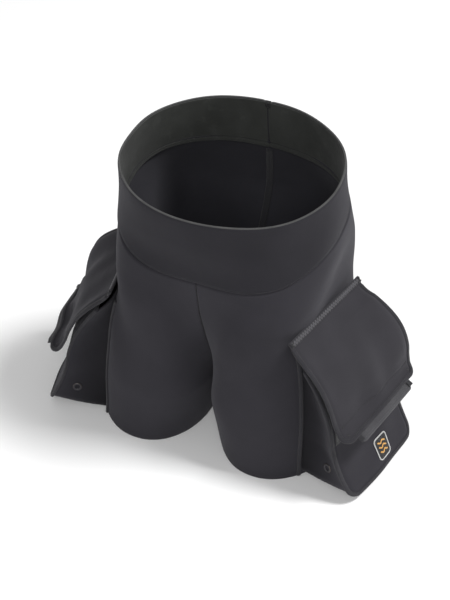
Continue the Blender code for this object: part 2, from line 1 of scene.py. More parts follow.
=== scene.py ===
"""The looks of the neoprene diving shorts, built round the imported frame.

Every piece is drawn again as a fine curved surface in the place of its CAD
node: knit-faced neoprene shells with rounded edges, bound rims, webbing and
rows of real stitches.  Lengths are in metres.  The body is drawn about a
vertical axis; a pocket is drawn in its own frame, where t runs back along the
thigh, n points out from it and z is up, all from the middle of the flap's
hinge.
"""

import json
import math

import bpy
import numpy as np
from mathutils import Matrix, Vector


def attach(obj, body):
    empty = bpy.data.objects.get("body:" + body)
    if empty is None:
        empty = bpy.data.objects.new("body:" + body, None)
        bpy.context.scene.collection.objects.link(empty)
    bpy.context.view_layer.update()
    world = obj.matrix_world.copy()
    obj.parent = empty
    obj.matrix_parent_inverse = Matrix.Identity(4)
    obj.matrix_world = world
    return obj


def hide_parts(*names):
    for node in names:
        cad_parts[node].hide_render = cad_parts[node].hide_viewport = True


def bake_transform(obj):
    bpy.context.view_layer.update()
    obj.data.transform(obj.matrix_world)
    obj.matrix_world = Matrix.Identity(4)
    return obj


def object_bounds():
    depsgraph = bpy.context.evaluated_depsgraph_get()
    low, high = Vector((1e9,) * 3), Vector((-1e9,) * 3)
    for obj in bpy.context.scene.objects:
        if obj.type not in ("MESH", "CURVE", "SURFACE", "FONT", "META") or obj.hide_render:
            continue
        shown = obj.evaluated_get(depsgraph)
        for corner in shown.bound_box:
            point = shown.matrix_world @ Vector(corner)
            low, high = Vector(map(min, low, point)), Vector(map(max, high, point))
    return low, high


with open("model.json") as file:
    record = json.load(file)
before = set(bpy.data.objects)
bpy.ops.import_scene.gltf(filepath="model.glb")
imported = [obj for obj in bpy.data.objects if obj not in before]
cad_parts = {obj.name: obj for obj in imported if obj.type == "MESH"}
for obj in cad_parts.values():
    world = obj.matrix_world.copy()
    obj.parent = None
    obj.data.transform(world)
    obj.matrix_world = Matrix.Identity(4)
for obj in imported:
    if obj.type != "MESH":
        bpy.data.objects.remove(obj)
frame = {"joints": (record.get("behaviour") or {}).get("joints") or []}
CAD_LOW, CAD_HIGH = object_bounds()

# ------------------------------------------------------------ frame and places
JOINTS = {joint["name"]: joint for joint in frame["joints"]}
HINGE = np.array(JOINTS["left_flap_hinge"]["pos_m"], float)
ALONG = -np.array(JOINTS["left_flap_hinge"]["axis"], float)
SIDEWAYS, BACKWARD, UP = np.identity(3)
OUT = np.cross(ALONG, UP)
HINGE_T, HINGE_N = 0.0215, 0.1520       # the hinge from the body's axis
BODY_AXIS = (HINGE - ALONG * HINGE_T - OUT * HINGE_N) * (0, 1, 0)
SIDES = (("left", 1), ("right", -1))

# bodies, by side
SHORTS = "shorts"
FLAP_BODY, FRONT_BODY = "{}_flap_assembly", "{}_pocket_front"
LOOP_BODY = "{}_elastic_loop"

# -------------------------------------------------------------- body outline
NEOPRENE = 0.003
CROTCH_Z = 0.088
LEG_GAP = 0.014
LEG_START_Z = 0.300
PART_EASE, PART_EASE_WIDTH = 0.24, 0.3      # the legs part softly at a seam
# height, half width, front y, back y, squareness, spread towards the back
SECTIONS = np.array([
    (0.000, 0.188, -0.126, 0.082, 2.1, 0.8),
    (0.060, 0.177, -0.124, 0.091, 2.3, 0.7),
    (0.120, 0.168, -0.119, 0.108, 2.9, 0.6),
    (0.180, 0.160, -0.113, 0.132, 4.0, 0.6),
    (0.235, 0.1495, -0.106, 0.150, 5.4, 0.6),
    (0.280, 0.1515, -0.097, 0.157, 3.8, 0.2),
    (0.320, 0.156, -0.094, 0.158, 2.7, 0.0),
    (0.360, 0.156, -0.100, 0.154, 2.2, 0.0),
    (0.400, 0.152, -0.104, 0.150, 2.1, 0.0),
    (0.445, 0.149, -0.106, 0.147, 2.1, 0.0),
])
RIM_Z, RIM_TILT = 0.420, 0.134
BAND_SEAM_Z, BAND_SEAM_TILT, BAND_SEAM_BOW = 0.350, 0.31, -1.2
BAND_MIDDLE_Y = 0.020
HALF_GIRTH = 0.21           # about, from the side to the middle seam

# ------------------------------------------------------------- pocket outline
FLAP_PROFILE = np.array([   # n, z from the hinge, top to bottom
    (0.0, 0.0), (0.016, -0.016), (0.034, -0.033), (0.051, -0.053),
    (0.063, -0.076), (0.072, -0.098), (0.082, -0.113), (0.096, -0.120)])
FLAP_HALF_TOP, FLAP_HALF_LOW = 0.0840, 0.0885
FLAP_CROWN, FLAP_CORNER, FLAP_BACK_RISE = 0.006, 0.014, 0.020
FLAP_EDGE_DROOP = 0.0030        # how far the side edges hang near the hinge
PANEL_PROFILE = np.array([
    (0.020, -0.031), (0.0405, -0.060), (0.059, -0.092), (0.0685, -0.117),
    (0.075, -0.146), (0.089, -0.185), (0.1085, -0.223)])
PANEL_T, PANEL_HALF = -0.0047, 0.0790
PANEL_CROWN, PANEL_CORNER = 0.005, 0.017
PANEL_FRONT_BULGE, PANEL_BULGE_TOP = 0.008, 0.160
PANEL_BOTTOM, PANEL_TOP = PANEL_PROFILE[-1, 1], PANEL_PROFILE[0, 1]
LEG_LINE_LOW = (-0.0805, 0.0625)    # t where the gusset meets the hem
LEG_LINE_TOP = (-0.0585, 0.0775)    # t where it ends under the flap
LEG_LINE_TOP_Z = 0.219
GUSSET_THICKNESS = 0.0022


# ------------------------------------------------------------------ arithmetic
def unit(vectors):
    """Vectors scaled to length one, along the last axis."""
    size = np.linalg.norm(vectors, axis=-1, keepdims=True)
    return vectors / np.maximum(size, 1e-12)


def hermite(x, knots, values):
    """A smooth curve through the design points, at every x."""
    x = np.asarray(x, float)
    slopes = np.gradient(values, knots, axis=0)
    i = np.clip(np.searchsorted(knots, x) - 1, 0, len(knots) - 2)
    h = (knots[i + 1] - knots[i])[..., None]
    s = np.clip((x - knots[i])[..., None] / h, 0, 1)
    return ((1 + 2 * s) * (1 - s) ** 2 * values[i]
            + s * (1 - s) ** 2 * h * slopes[i]
            + s * s * (3 - 2 * s) * values[i + 1]
            + s * s * (s - 1) * h * slopes[i + 1])


def ripple(a, b, waves):
    """Soft unevenness: waves are (height, length along a, along b, phase)."""
    total = 0
    for height, length_a, length_b, phase in waves:
        angle = 2 * math.pi * (a / length_a + b / length_b) + phase
        total = total + height * np.sin(angle)
    return total


def lengths_along(points):
    """Distances along a line of points from its first."""
    steps = np.linalg.norm(np.diff(points, axis=0), axis=1)
    return np.concatenate([[0], np.cumsum(steps)])


def rounded(angle, squareness):
    """Two coordinates at an angle on a rounded square of half width 1."""
    c, s = np.cos(angle), np.sin(angle)
    reach = (np.abs(c) ** squareness + np.abs(s) ** squareness) ** (-1 / squareness)
    return c * reach, s * reach


def groove(distance, depth, width):
    """How far a surface dips at a seam."""
    return -depth * np.exp(-(distance / width) ** 2)


def normals_of(surface, a, b, step_a, step_b):
    """Unit normals of surface(a, b) by central differences."""
    across = surface(a + step_a, b) - surface(a - step_a, b)
    up = surface(a, b + step_b) - surface(a, b - step_b)
    return unit(np.cross(across, up))


def raised(surface, a, b, height):
    """Points at some height off surface(a, b), and its normals there."""
    normal = normals_of(surface, a, b, 0.002, 0.002)
    return surface(a, b) + normal * height[..., None], normal


# --------------------------------------------------------------- body surface
def section_point(half_width, middle, front, back, squareness, angle):
    """x and y on a rounded section at an angle from +X."""
    across, along = rounded(angle, squareness)
    return (middle + half_width * across, (front + back) / 2 + (back - front) / 2 * along)


def body(u, z):
    """The bare outer surface of the left half: u is -1 at the front middle
    or the inner seam, 0 at the side and 1 at the back middle."""
    u, z = np.broadcast_arrays(np.clip(u, -1, 1), np.maximum(z, 0))
    width, front, back, squareness, spread = np.moveaxis(
        hermite(z, SECTIONS[:, 0], SECTIONS[:, 1:]), -1, 0)
    inner = LEG_GAP * np.maximum(1 - z / CROTCH_Z, 0) ** 1.25
    hip_x, hip_y = section_point(width, 0, front, back, squareness, u * math.pi / 2)
    leg_x, leg_y = section_point((width - inner) / 2, (width + inner) / 2,
                                 front, back, squareness, u * math.pi)
    fall = np.clip((LEG_START_Z - z) / (LEG_START_Z - CROTCH_Z), 0, 1)
    share = 1 - fall ** 1.3
    from_seam = np.clip((1 - np.abs(u)) / PART_EASE_WIDTH, 0, 1)
    ease = PART_EASE * from_seam ** 2
    parted = 1 - (((share ** 2 + ease ** 2) ** 0.375 - ease ** 0.75)
                  / ((1 + ease ** 2) ** 0.375 - ease ** 0.75))
    x = (1 - parted) * hip_x + parted * leg_x
    y = (1 - parted) * hip_y + parted * leg_y
    x = x * (1 + spread * (y - (front + back) / 2))
    return np.stack([x, y, z], -1) + BODY_AXIS


def body_normal(u, z):
    """Outward unit normals of the body."""
    u = np.clip(u, -0.99, 0.99)
    return normals_of(body, u, np.maximum(z, 0.002), 0.01, 0.002)


BODY_WAVES = ((0.0005, 0.21, 0.16, 0.4), (0.0004, -0.13, 0.11, 1.9), (0.0003, 0.09, -0.21, 0.7))


def body_skin(u, z, lift=0.0):
    """Points off the body with its soft unevenness, left of the middle."""
    swell = ripple(u * HALF_GIRTH, z, BODY_WAVES) * np.minimum(z / 0.03, 1)
    points = body(u, z) + body_normal(u, z) * (swell + lift)[..., None]
    points[..., 0] = np.maximum(points[..., 0], 0.0002)
    return points


def band_seam_z(u):
    """Height of the seam between the waistband and the body."""
    z = np.full(np.shape(u), BAND_SEAM_Z)
    for _ in range(4):
        y = body(u, z)[..., 1] - BODY_AXIS[1] - BAND_MIDDLE_Y
        z = BAND_SEAM_Z + BAND_SEAM_TILT * y + BAND_SEAM_BOW * y * y
    return z


def rim_z(u):
    """Height of the tilted rim."""
    y = body(u, RIM_Z)[..., 1] - BODY_AXIS[1] - BAND_MIDDLE_Y
    return RIM_Z + RIM_TILT * y


# ------------------------------------------------------------- pocket surfaces
def pocket(t, n, z):
    """Points from the pocket's frame."""
    t, n, z = np.broadcast_arrays(t, n, z)
    return (HINGE + ALONG * t[..., None] + OUT * n[..., None] + UP * z[..., None])


def panel(t, z):
    """The bare outer face of the pocket's front."""
    offset = hermite(z, PANEL_PROFILE[::-1, 1], PANEL_PROFILE[::-1, :1])
    spread = np.clip(np.abs(t - PANEL_T) / PANEL_HALF, 0, 1)
    share = np.clip((PANEL_T + PANEL_HALF - t) / PANEL_HALF / 2, 0, 1.1)
    height = np.clip((z - PANEL_BOTTOM) / PANEL_BULGE_TOP, 0, 1)
    swell = PANEL_FRONT_BULGE * share ** 2 * np.sin(math.pi * height ** 0.6)
    return pocket(t - swell, offset[..., 0] + PANEL_CROWN * (1 - spread ** 2), z)


FLAP_LENGTH = lengths_along(FLAP_PROFILE)[-1]
FLAP_KNOTS = lengths_along(FLAP_PROFILE) / FLAP_LENGTH


def flap(t, s):
    """The bare outer face of the flap, s up from its lower edge."""
    t, s = np.broadcast_arrays(t, s)
    inside = np.clip(1 - s / FLAP_LENGTH, 0, 1)
    ahead = hermite(np.minimum(inside + 0.02, 1), FLAP_KNOTS, FLAP_PROFILE)
    behind = hermite(np.maximum(inside - 0.02, 0), FLAP_KNOTS, FLAP_PROFILE)
    along = unit(ahead - behind)
    spread = np.clip(np.abs(t) / FLAP_HALF_LOW, 0, 1)
    backward = t / FLAP_HALF_LOW / 2 + 0.5
    rise = FLAP_CROWN * inside ** 0.7 * (1 - spread ** 2)
    rise = rise + (FLAP_BACK_RISE * backward ** 2 * np.sin(math.pi * inside)
                   * np.clip(inside / 0.16, 0, 1))
    rise = rise - (FLAP_EDGE_DROOP * spread ** 14 * np.clip(inside / 0.1, 0, 1)
                   * np.clip(1.4 - 2 * inside, 0, 1))
    place = (hermite(inside, FLAP_KNOTS, FLAP_PROFILE)
             + along * np.maximum(-s, 0)[..., None]
             + np.stack([-along[..., 1], along[..., 0]], -1)
             * rise[..., None])
    return pocket(t, place[..., 0], place[..., 1])


def flap_half(s):
    """Half the flap's width at s up from its lower edge."""
    share = np.clip(s / FLAP_LENGTH, 0, 1)
    return FLAP_HALF_LOW + (FLAP_HALF_TOP - FLAP_HALF_LOW) * share


def leg_u(t, z):
    """The u of the body at t along the thigh and height z."""
    t, z = np.broadcast_arrays(np.asarray(t, float), z)
    low, high = np.full(t.shape, -0.6), np.full(t.shape, 0.6)
    for _ in range(26):
        middle = (low + high) / 2
        before = (body(middle, z) - HINGE) @ ALONG < t
        low, high = np.where(before, middle, low), np.where(before, high, middle)
    return middle


def leg(t, z, lift=0.0):
    """Points off the thigh at t along it, and its normals there."""
    u = leg_u(t, z)
    return body_skin(u, z, lift), body_normal(u, z)


def corner_inset(s, radius):
    """How far a round corner pulls the side in at s above the lower edge."""
    drop = np.clip(radius - s, 0, radius)
    return radius - np.sqrt(radius ** 2 - drop ** 2)


def levels(top, radius, corner_rows, rows):
    """Levels up a piece, closer together along its round lower corners."""
    turn = np.radians(np.linspace(0, 90, corner_rows))[:-1]
    return np.concatenate([radius * (1 - np.cos(turn)), np.linspace(radius, top, rows)])


def cornered(half, s, radius, columns):
    """Offsets over a piece with round lower corners, and how far in from
    its edge each one is."""
    half = half - corner_inset(s, radius)
    offset = half * np.linspace(-1, 1, columns)
    return offset, np.minimum(half - np.abs(offset), s)


def outline(half, top, bottom, radius, count=220):
    """A U with round lower corners, front top to back top: offset and s."""
    side, turn = top - bottom - radius, radius * math.pi / 2
    floor = 2 * (half - radius)
    distance = np.linspace(0, 2 * side + 2 * turn + floor, count)
    offset, level = np.empty(count), np.empty(count)
    for i, d in enumerate(distance):
        back = d > side + turn + floor / 2
        d = min(d, distance[-1] - d)
        if d <= side:
            x, y = -half, top - d
        elif d <= side + turn:
            a = (d - side) / radius
            x = -half + radius * (1 - math.cos(a))
            y = bottom + radius * (1 - math.sin(a))
        else:
            x, y = -half + radius + d - side - turn, bottom
        offset[i], level[i] = (-x if back else x), y
    return offset, level


# ------------------------------------------------------------------- materials
def node(tree, kind, inputs=None, **settings):
    """Add a shader node; an input may be a value or another node's socket."""
    made = tree.nodes.new(kind)
    for name, value in settings.items():
        setattr(made, name, value)
    for name, value in (inputs or {}).items():
        if isinstance(value, bpy.types.NodeSocket):
            tree.links.new(value, made.inputs[name])
        else:
            made.inputs[name].default_value = value
    return made


def maths(tree, operation, *values):
    """The result of a math node."""
    inputs = dict(enumerate(values))
    return node(tree, "ShaderNodeMath", inputs, operation=operation).outputs[0]


def mix_colour(tree, factor, first, second, blend="MIX"):
    """Two colours mixed by a factor."""
    return node(tree, "ShaderNodeMix", {0: factor, 6: first, 7: second},
                data_type="RGBA", blend_type=blend).outputs[2]


def new_material(name, roughness=0.8, sheen=0.0, metallic=0.0, specular=0.3):
    """A material with its node tree and its Principled shader."""
    made = bpy.data.materials.new(name)
    made.use_nodes = True
    shader = made.node_tree.nodes["Principled BSDF"]
    shader.inputs["Roughness"].default_value = roughness
    shader.inputs["Metallic"].default_value = metallic
    shader.inputs["Specular IOR Level"].default_value = specular
    shader.inputs["Sheen Weight"].default_value = sheen
    shader.inputs["Sheen Roughness"].default_value = 0.45
    return made, made.node_tree, shader


def uv_axes(tree):
    """The two surface coordinates of a piece, in metres."""
    uv = node(tree, "ShaderNodeUVMap", uv_map="metres").outputs[0]
    split = node(tree, "ShaderNodeSeparateXYZ", {0: uv})
    return split.outputs[0], split.outputs[1]


def wave(tree, value, pitch):
    """A sine of a surface coordinate, from 0 to 1."""
    turn = maths(tree, "MULTIPLY", value, 2 * math.pi / pitch)
    return maths(tree, "MULTIPLY_ADD", maths(tree, "SINE", turn), 0.5, 0.5)


def knit_height(tree, width, height):
    """Columns of V-shaped stitches, from 0 to 1."""
    u, v = uv_axes(tree)
    column = maths(tree, "FRACT", maths(tree, "DIVIDE", u, width))
    fold = maths(tree, "ABSOLUTE", maths(tree, "SUBTRACT", column, 0.5))
    slant = maths(tree, "MULTIPLY_ADD", fold, height, v)
    rows = wave(tree, slant, height)
    ribs = maths(tree, "MULTIPLY", fold, 2.0)
    return maths(tree, "MULTIPLY_ADD", ribs, 0.6, maths(tree, "MULTIPLY", rows, 0.4))


def weave_height(tree, pitch_u, pitch_v):
    """A plain basket weave, from 0 to 1."""
    u, v = uv_axes(tree)
    return maths(tree, "ABSOLUTE", maths(tree, "SUBTRACT",
                                         wave(tree, u, pitch_u),
                                         wave(tree, v, pitch_v)))


def noise(tree, scale, detail=2.0, roughness=0.5):
    """Solid noise in object space, from 0 to 1."""
    place = node(tree, "ShaderNodeTexCoord").outputs["Object"]
    return node(tree, "ShaderNodeTexNoise", {
        "Vector": place, "Scale": scale, "Detail": detail,
        "Roughness": roughness}).outputs[0]


def cells(tree, scale):
    """Distance from the middle of the nearest of many random cells."""
    place = node(tree, "ShaderNodeTexCoord").outputs["Object"]
    return node(tree, "ShaderNodeTexVoronoi", {
        "Vector": place, "Scale": scale}).outputs["Distance"]


def spread_colour(tree, colour, scale, amount):
    """A colour that varies softly from place to place."""
    share = maths(tree, "MULTIPLY_ADD", noise(tree, scale, 3.0), 3.0, -1.0)
    clamped = node(tree, "ShaderNodeClamp", {0: share}).outputs[0]
    dark = [c * (1 - amount) for c in colour] + [1]
    light = [min(c * (1 + amount), 1) for c in colour] + [1]
    return mix_colour(tree, clamped, dark, light)


def paint(tree, shader, base, grey):
    """Give a shader a base colour multiplied by a grey."""
    wash = node(tree, "ShaderNodeCombineColor", {0: grey, 1: grey, 2: grey})
    tree.links.new(mix_colour(tree, 1.0, base, wash.outputs[0], "MULTIPLY"),
                   shader.inputs["Base Color"])


def add_bump(tree, shader, height, distance, strength=1.0, below=None):
    """Bump from a height socket, on top of an earlier one."""
    inputs = {"Height": height, "Distance": distance, "Strength": strength}
    if below is not None:
        inputs["Normal"] = below
    bump = node(tree, "ShaderNodeBump", inputs)
    tree.links.new(bump.outputs[0], shader.inputs["Normal"])
    return bump.outputs[0]


def knit_material(name, colour, width=0.0011, height=0.0014, painted_shade_depth=None):
    """The fine knit face of the neoprene, with fibres and soft blotches.

    Cloth given a painted shade depth gets painted shade: it is darker at the bottom of its fold,
    where the fold lies in shadow.
    """
    made, tree, shader = new_material(name, 0.9, 0.10, specular=0.18)
    shader.inputs["Sheen Tint"].default_value = (0.75, 0.74, 0.8, 1)
    stitches = knit_height(tree, width, height)
    base = spread_colour(tree, colour, 16.0, 0.07)
    shade = maths(tree, "MULTIPLY_ADD", stitches, 0.16, 0.92)
    fibres = maths(tree, "MULTIPLY_ADD", noise(tree, 900.0), 0.20, 0.90)
    grey = maths(tree, "MULTIPLY", shade, fibres)
    if painted_shade_depth:
        # painted shade: the colour darkens along the surface's second coordinate, for the shadow
        # deep in the fold
        painted_fold_shade = maths(tree, "MULTIPLY_ADD", uv_axes(tree)[1], 0.45 / painted_shade_depth, 0.55)
        painted_fold_shade = node(tree, "ShaderNodeClamp", {0: painted_fold_shade}).outputs[0]
        grey = maths(tree, "MULTIPLY", grey, painted_fold_shade)
    paint(tree, shader, base, grey)
    soft = add_bump(tree, shader, noise(tree, 60.0, 3.0), 0.0006, 0.5)
    add_bump(tree, shader, stitches, 0.00012, 0.9, soft)
    return made


def skin_material(name, colour):
    """Smooth-skin neoprene: softly glossy, with pores and pale patches."""
    made, tree, shader = new_material(name, 0.5, 0.1, specular=0.35)
    base = spread_colour(tree, colour, 22.0, 0.14)
    patches = maths(tree, "MULTIPLY_ADD", noise(tree, 45.0, 4.0, 0.65), 5.0, -2.9)
    chalk = node(tree, "ShaderNodeClamp", {0: patches, 2: 0.22}).outputs[0]
    tree.links.new(mix_colour(tree, chalk, base,
                              [min(c * 1.8, 1) for c in colour] + [1]),
                   shader.inputs["Base Color"])
    rough = maths(tree, "MULTIPLY_ADD", noise(tree, 120.0, 3.0), 0.3, 0.36)
    tree.links.new(rough, shader.inputs["Roughness"])
    soft = add_bump(tree, shader, noise(tree, 70.0, 3.0), 0.0008, 0.4)
    add_bump(tree, shader, noise(tree, 1500.0, 2.0), 0.00006, 0.5, soft)
    return made


def weave_material(name, colour, pitch_u, pitch_v, relief=0.0002, roughness=0.75, sheen=0.2):
    """Woven tape or webbing, darker between its threads."""
    made, tree, shader = new_material(name, roughness, sheen)
    threads = weave_height(tree, pitch_u, pitch_v)
    base = spread_colour(tree, colour, 40.0, 0.08)
    paint(tree, shader, base, maths(tree, "MULTIPLY_ADD", threads, 0.35, 0.80))
    fine = add_bump(tree, shader, noise(tree, 1200.0), 0.00008, 0.5)
    add_bump(tree, shader, threads, relief, 1.0, fine)
    return made


def foam_material(name, colour):
    """The cut edge of the foam, with tiny cells."""
    made, tree, shader = new_material(name, 0.9, 0.1)
    foam = cells(tree, 1800.0)
    base = spread_colour(tree, colour, 60.0, 0.12)
    paint(tree, shader, base, maths(tree, "MULTIPLY_ADD", foam, 0.5, 0.75))
    add_bump(tree, shader, foam, 0.0002, 0.8)
    return made


def pile_material(name, colour, scale, relief, roughness=0.9, sheen=0.3):
    """Hooks or brushed loops: a dense random pile."""
    made, tree, shader = new_material(name, roughness, sheen)
    pile = cells(tree, scale)
    base = spread_colour(tree, colour, 90.0, 0.1)
    paint(tree, shader, base, maths(tree, "MULTIPLY_ADD", pile, -0.7, 1.25))
    add_bump(tree, shader, pile, -relief, 1.0)
    return made


def thread_material(name, colour, roughness=0.55):
    """Twisted polyester sewing thread."""
    made, tree, shader = new_material(name, roughness, 0.15, specular=0.45)
    u, v = uv_axes(tree)
    twist = wave(tree, maths(tree, "ADD", u, v), 0.0006)
    base = spread_colour(tree, colour, 400.0, 0.15)
    paint(tree, shader, base, maths(tree, "MULTIPLY_ADD", twist, 0.4, 0.8))
    add_bump(tree, shader, twist, 0.0001, 1.0)
    return made


def metal_material(name, colour):
    """Blackened brass, worn bright on its rims."""
    made, tree, shader = new_material(name, 0.38, 0.0, metallic=0.9, specular=0.5)
    worn = node(tree, "ShaderNodeNewGeometry").outputs["Pointiness"]
    edge = maths(tree, "MULTIPLY_ADD", worn, 9.0, -4.7)
    rough = noise(tree, 300.0, 4.0)
    share = maths(tree, "MULTIPLY", node(tree, "ShaderNodeClamp", {0: edge}).outputs[0], rough)
    tree.links.new(mix_colour(tree, share, [*colour, 1],
                              [0.35, 0.27, 0.15, 1]),
                   shader.inputs["Base Color"])
    tree.links.new(maths(tree, "MULTIPLY_ADD", rough, 0.3, 0.25), shader.inputs["Roughness"])
    add_bump(tree, shader, rough, 0.0001, 0.3)
    return made


LOOKS = {
    "band": knit_material("band_knit_look", (0.0195, 0.0186, 0.0226)),
    "outer": knit_material("outer_knit_look", (0.0265, 0.0252, 0.0305)),
    "flap": knit_material("flap_knit_look", (0.0310, 0.0297, 0.0345)),
    "inner": knit_material("inner_knit_look", (0.0270, 0.0265, 0.0320),
                           0.0009, 0.0012),
    # the gusset's colour carries painted shade, darker deep in its fold next to the leg
    "gusset": knit_material("gusset_knit_look", (0.0300, 0.0285, 0.0350),
                            painted_shade_depth=0.05),
    "binding": weave_material("edge_binding_look", (0.0250, 0.0240, 0.0288),
                              0.0008, 0.0011, 0.00014, 0.85, 0.1),
    "skin": skin_material("smooth_skin_look", (0.0420, 0.0440, 0.0410)),
    # the cut foam edge gets a light grey: partly the foam's own tone, partly a painted highlight
    # along the waistband's rim
    "foam": foam_material("foam_edge_and_rim_highlight_look", (0.060, 0.060, 0.060)),
    "tape": weave_material("seam_tape_look", (0.0215, 0.0212, 0.0245),
                           0.0009, 0.0009),
    "webbing": weave_material("webbing_look", (0.0560, 0.0548, 0.0610),
                              0.0016, 0.0022, 0.0004),
    "hook": pile_material("hook_tape_look", (0.018, 0.018, 0.019), 900.0,
                          0.0006, 0.55, 0.0),
    "loop": pile_material("loop_tape_look", (0.024, 0.024, 0.026), 1500.0,
                          0.0003),
    "thread": thread_material("thread_look", (0.0260, 0.0255, 0.0290)),
    "pale_thread": thread_material("pale_thread_look", (0.088, 0.086, 0.095)),
    "dark_thread": thread_material("dark_thread_look", (0.009, 0.009, 0.010)),
    "cord": weave_material("shock_cord_look", (0.028, 0.028, 0.030), 0.0011,
                           0.0011, 0.0003, 0.6, 0.1),
    "brass": metal_material("eyelet_brass_look", (0.060, 0.058, 0.064)),
    "badge_ground": weave_material("badge_ground_look", (0.008, 0.008, 0.009),
                                   0.0006, 0.0006, 0.0001),
    "badge_rim": thread_material("badge_rim_look", (0.50, 0.50, 0.49), 0.6),
    "badge_wave": thread_material("badge_wave_look", (0.62, 0.33, 0.08), 0.6),
}


# ---------------------------------------------------------------- mesh helpers
def add_piece(name, body_name, looks, data, stands_for=None, side=1):
    """Make one piece from points, faces, surface coordinates and slots."""
    points, faces, coordinates, face_slots = data
    points = points * np.array([side, 1, 1])
    mesh = bpy.data.meshes.new(name)
    if side < 0:
        faces = [face[::-1] for face in faces]
    mesh.from_pydata(points.tolist(), [], faces)
    for look in looks:
        mesh.materials.append(LOOKS[look])
    corners = np.zeros(len(mesh.loops), np.int32)
    mesh.loops.foreach_get("vertex_index", corners)
    layer = mesh.uv_layers.new(name="metres")
    layer.data.foreach_set("uv", coordinates[corners].ravel())
    mesh.polygons.foreach_set("material_index", np.asarray(face_slots, np.int32))
    mesh.shade_smooth()
    mesh.update()
    piece = bpy.data.objects.new(name, mesh)
    bpy.context.scene.collection.objects.link(piece)
    if body_name:
        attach(piece, body_name)
    if stands_for:
        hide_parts(stands_for)
    return piece


def add_pair(name, body_name, looks, data, stands_for=None):
    """Make a left piece and its mirror image on the right."""
    return [add_piece(f"{side_name}_{name}",
                      body_name and body_name.format(side_name), looks,
                      data, stands_for and f"{side_name}_{stands_for}", side)
            for side_name, side in SIDES]


def grid_faces(rows, columns, start, wrap=False):
    """Quads over a grid of points stored row by row."""
    last = columns if wrap else columns - 1
    return [(start + i * columns + j, start + i * columns + (j + 1) % columns,
             start + (i + 1) * columns + (j + 1) % columns,
             start + (i + 1) * columns + j)
            for i in range(rows - 1) for j in range(last)]


def perimeter(rows, columns):
    """Grid indices round the edge: lower row, right, upper row, left."""
    grid = np.arange(rows * columns).reshape(rows, columns)
    return np.concatenate([grid[0, :-1], grid[:-1, -1], grid[-1, :0:-1], grid[:0:-1, 0]])


def arc_coordinates(points):
    """Lengths along the columns and the rows of a grid, from its middle."""
    def lengths(axis):
        steps = np.linalg.norm(np.diff(points, axis=axis), axis=-1)
        start = np.zeros_like(np.take(steps, [0], axis))
        total = np.concatenate([start, np.cumsum(steps, axis)], axis)
        middle = np.take(total, [points.shape[axis] // 2], axis)
        return total - middle
    return np.stack([lengths(1), lengths(0)], -1).reshape(-1, 2)


def sheet(skin, normals, thickness, round_edge=0.35, inner_slot=0, top_slot=0):
    """A sheet with rounded edges under a grid of skin points."""
    rows, columns = skin.shape[:2]
    count = rows * columns
    inner = skin - normals * thickness
    flat, under = skin.reshape(-1, 3), inner.reshape(-1, 3)
    rim = perimeter(rows, columns)
    i, j = rim // columns, rim % columns
    near_i = np.clip(i, 1, rows - 2)
    near_j = np.clip(j, 1, columns - 2)
    outward = unit(flat[rim] - skin[near_i, near_j])
    middle = (flat[rim] + under[rim]) / 2
    half = (flat[rim] - under[rim]) / 2
    bulge = np.linalg.norm(half, axis=1, keepdims=True) * 2 * round_edge
    rings = []
    for angle in np.radians((45, 90, 135)):
        rings.append(middle + half * math.cos(angle) + outward * bulge * math.sin(angle))
    points = np.concatenate([flat, under, *rings])
    uv = arc_coordinates(skin)
    uv = np.concatenate([uv, uv, uv[rim], uv[rim], uv[rim]])
    outer = grid_faces(rows, columns, 0)
    faces = outer + [face[::-1] for face in grid_faces(rows, columns, count)]
    face_slots = [0] * len(outer) + [inner_slot] * len(outer)
    size = len(rim)
    before = rows + columns - 2         # edges ahead of the upper row's
    edge = [0] * before + [top_slot] * (columns - 1) + [0] * (rows - 1)
    loops = [rim] + [2 * count + k * size + np.arange(size) for k in range(3)] + [rim + count]
    for upper, lower in zip(loops[:-1], loops[1:]):
        for k in range(size):
            m = (k + 1) % size
            faces.append((int(upper[m]), int(upper[k]), int(lower[k]), int(lower[m])))
            face_slots.append(edge[k])
    return points, faces, uv, face_slots


def tube(path, across, width, depth, segments=14, squareness=2.6, closed=False):
    """A rounded strip along a path; across is its width direction."""
    tangents = unit(np.gradient(path, axis=0))
    side = unit(across - tangents * np.sum(across * tangents, -1, keepdims=True))
    up = np.cross(tangents, side)
    angles = np.linspace(0, 2 * math.pi, segments, endpoint=False)
    x, y = rounded(angles, squareness)
    rings = (path[:, None] + side[:, None] * x[None, :, None] * width / 2
             + up[:, None] * y[None, :, None] * depth / 2)
    around = angles * (width + depth) / 4
    uv = np.stack(np.broadcast_arrays(lengths_along(path)[:, None], around[None]), -1)
    rows = len(path)
    faces = grid_faces(rows, segments, 0, True)
    if closed:
        last = (rows - 1) * segments
        faces += [(last + j, last + (j + 1) % segments, (j + 1) % segments, j)
                  for j in range(segments)]
        points = rings.reshape(-1, 3)
        return points, faces, uv.reshape(-1, 2), [0] * len(faces)
    ends = np.stack([path[0] - tangents[0] * depth / 4, path[-1] + tangents[-1] * depth / 4])
    points = np.concatenate([rings.reshape(-1, 3), ends])
    uv = np.concatenate([uv.reshape(-1, 2), uv[0, :1], uv[-1, :1]])
    first, final = rows * segments, rows * segments + 1
    top = (rows - 1) * segments
    for j in range(segments):
        k = (j + 1) % segments
        faces.append((first, k, j))
        faces.append((final, top + j, top + k))
    return points, faces, uv, [0] * len(faces)


def joined(*groups):
    """Lists of mesh data as one mesh; each list has the next slot."""
    points, faces, uv, slots, start = [], [], [], [], 0
    for slot, parts in enumerate(groups):
        for places, corners, coordinates, _ in parts:
            points.append(places)
            uv.append(coordinates)
            faces += [tuple(v + start for v in face) for face in corners]
            slots += [slot] * len(corners)
            start += len(places)
    return np.concatenate(points), faces, np.concatenate(uv), slots


